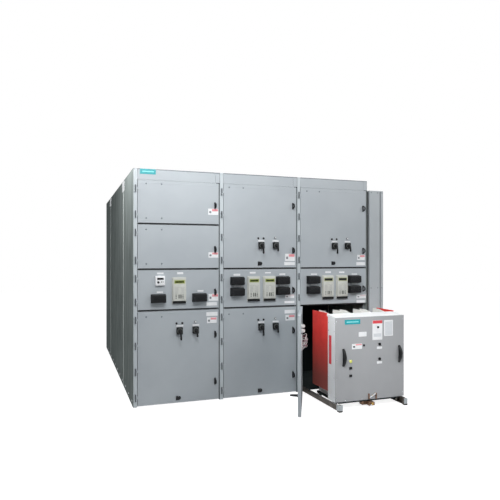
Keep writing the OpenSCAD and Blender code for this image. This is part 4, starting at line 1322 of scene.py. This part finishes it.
# a black strip down the joint beside the end column: painted shade of that gap
column_gap_shade = stack(rounded(12, COLUMN_TOP - 30, 1), [(-3, 0), (1, 0), (1.6, 0.6)])
column_gap_shade = moved(column_gap_shade, COLUMN_X + 7, FRONT, COLUMN_TOP / 2)
parts = [(caps, white_card), (header_gap_highlights, post_paint), (edges, jamb_paint)]
piece("joint_covers", parts + [(gap_shade_strips, rubber), (column_gap_shade, rubber)])

# the doors that are shut, each column from its top: they get black strips of painted shade
GAP_SHADED_DOORS = {
    1: ("upper", "middle", "instrument", "lower"),
    2: ("upper", "instrument", "lower"),
    3: ("upper", "instrument"),
}


def gap_shade_trims(section, door, ends):
    """Painted shade: black rubber strips on a door's gap edges, from its hinge post on: 1 is the
    top, -1 the foot.
    """
    node = door_node(section, door)
    left, right = SECTION_LEFT[section] + 48, high(node)[0] - 6
    half = (high(node)[2] - low(node)[2]) / 2 - 2
    gap_strip = stack(rounded(right - left, 3.4, 1), [(-1, 0), (0.4, 0), (0.8, 0.4)])
    gap_strips = copies(gap_strip, [(0, 0, end * half) for end in ends])
    gap_strips = moved(gap_strips, (right + left) / 2, FRONT, middle_z(node))
    piece(node + "_edge_trim", [(gap_strips, rubber)], body_of(section, door))


for section, doors in GAP_SHADED_DOORS.items():
    for row, door in enumerate(doors):
        gap_shade_trims(section, door, [1] * (row > 0) + [-1] * (door != "lower"))

print("trimmed doors:", sum(len(doors) for doors in GAP_SHADED_DOORS.values()))

# %% [markdown]
# ## Screws, bolts and aprons
# Each kind of screw is one dome, copied to all its places as one array: round the rear covers,
# along the joints of the roof, and on the end column. Low aprons close the slot between the
# compartments' floors and their backs, so that no light comes through under them.

# %% Screws and aprons
# heights of the lowest and the highest screws of each rear cover
COVER_ENDS = ((30, 1180), (1240, 2385))
screw_back, screw_up = facing("back", dome(7, 4, 10)), facing("up", dome(7, 4.5, 10))
upright = [z for ends in COVER_ENDS for z in np.linspace(*ends, 6)]
level = [z for ends in COVER_ENDS for z in ends]
rear = [(u, z) for z in upright for u in (24, SECTION_W - 27)]
rear = [(SECTION_LEFT[s] + u, BACK, z) for s in (1, 2, 3) for u, z in rear]
rear += [(SECTION_LEFT[s] + u, BACK, z) for s in (1, 2, 3) for z in level for u in (240, 457, 674)]
piece("rear_screws", [(copies(screw_back, rear), bright_screw)])
seam_y = [FRONT + 30, *(y + d for y in WALL_SEAMS for d in (-22, 22)), BACK - 30]
roof = [(u, y) for y in seam_y for u in (70, 300, 610, 860)]
roof = [(SECTION_LEFT[s] + u, y, ROOF) for s in (1, 2, 3) for u, y in roof]
piece("roof_screws", [(copies(screw_up, roof), bright_screw)])

apron_low, apron_top = high("compartment_floors")[2], low("compartment_backs")[2] + 12
apron = stack(rounded(SECTION_W - 30, apron_top - apron_low, 2), FLAT_COVER)
apron_y, apron_z = low("compartment_backs")[1] - 1, (apron_top + apron_low) / 2
aprons = each_section(apron, SECTION_W / 2, apron_y, apron_z)
piece("back_aprons", [(aprons, cell_shade_paint)])

spots = [(u, z) for u in (60, 150, 209) for z in (COLUMN_TOP - 22, COLUMN_TOP / 2, 60)]
spots = [(COLUMN_X + u, FRONT, z) for u, z in spots]
piece("column_bolts", [(copies(dome(7, 5, 12), spots), stud_paint)])
print("screws and bolts:", len(rear) + len(roof) + len(spots))
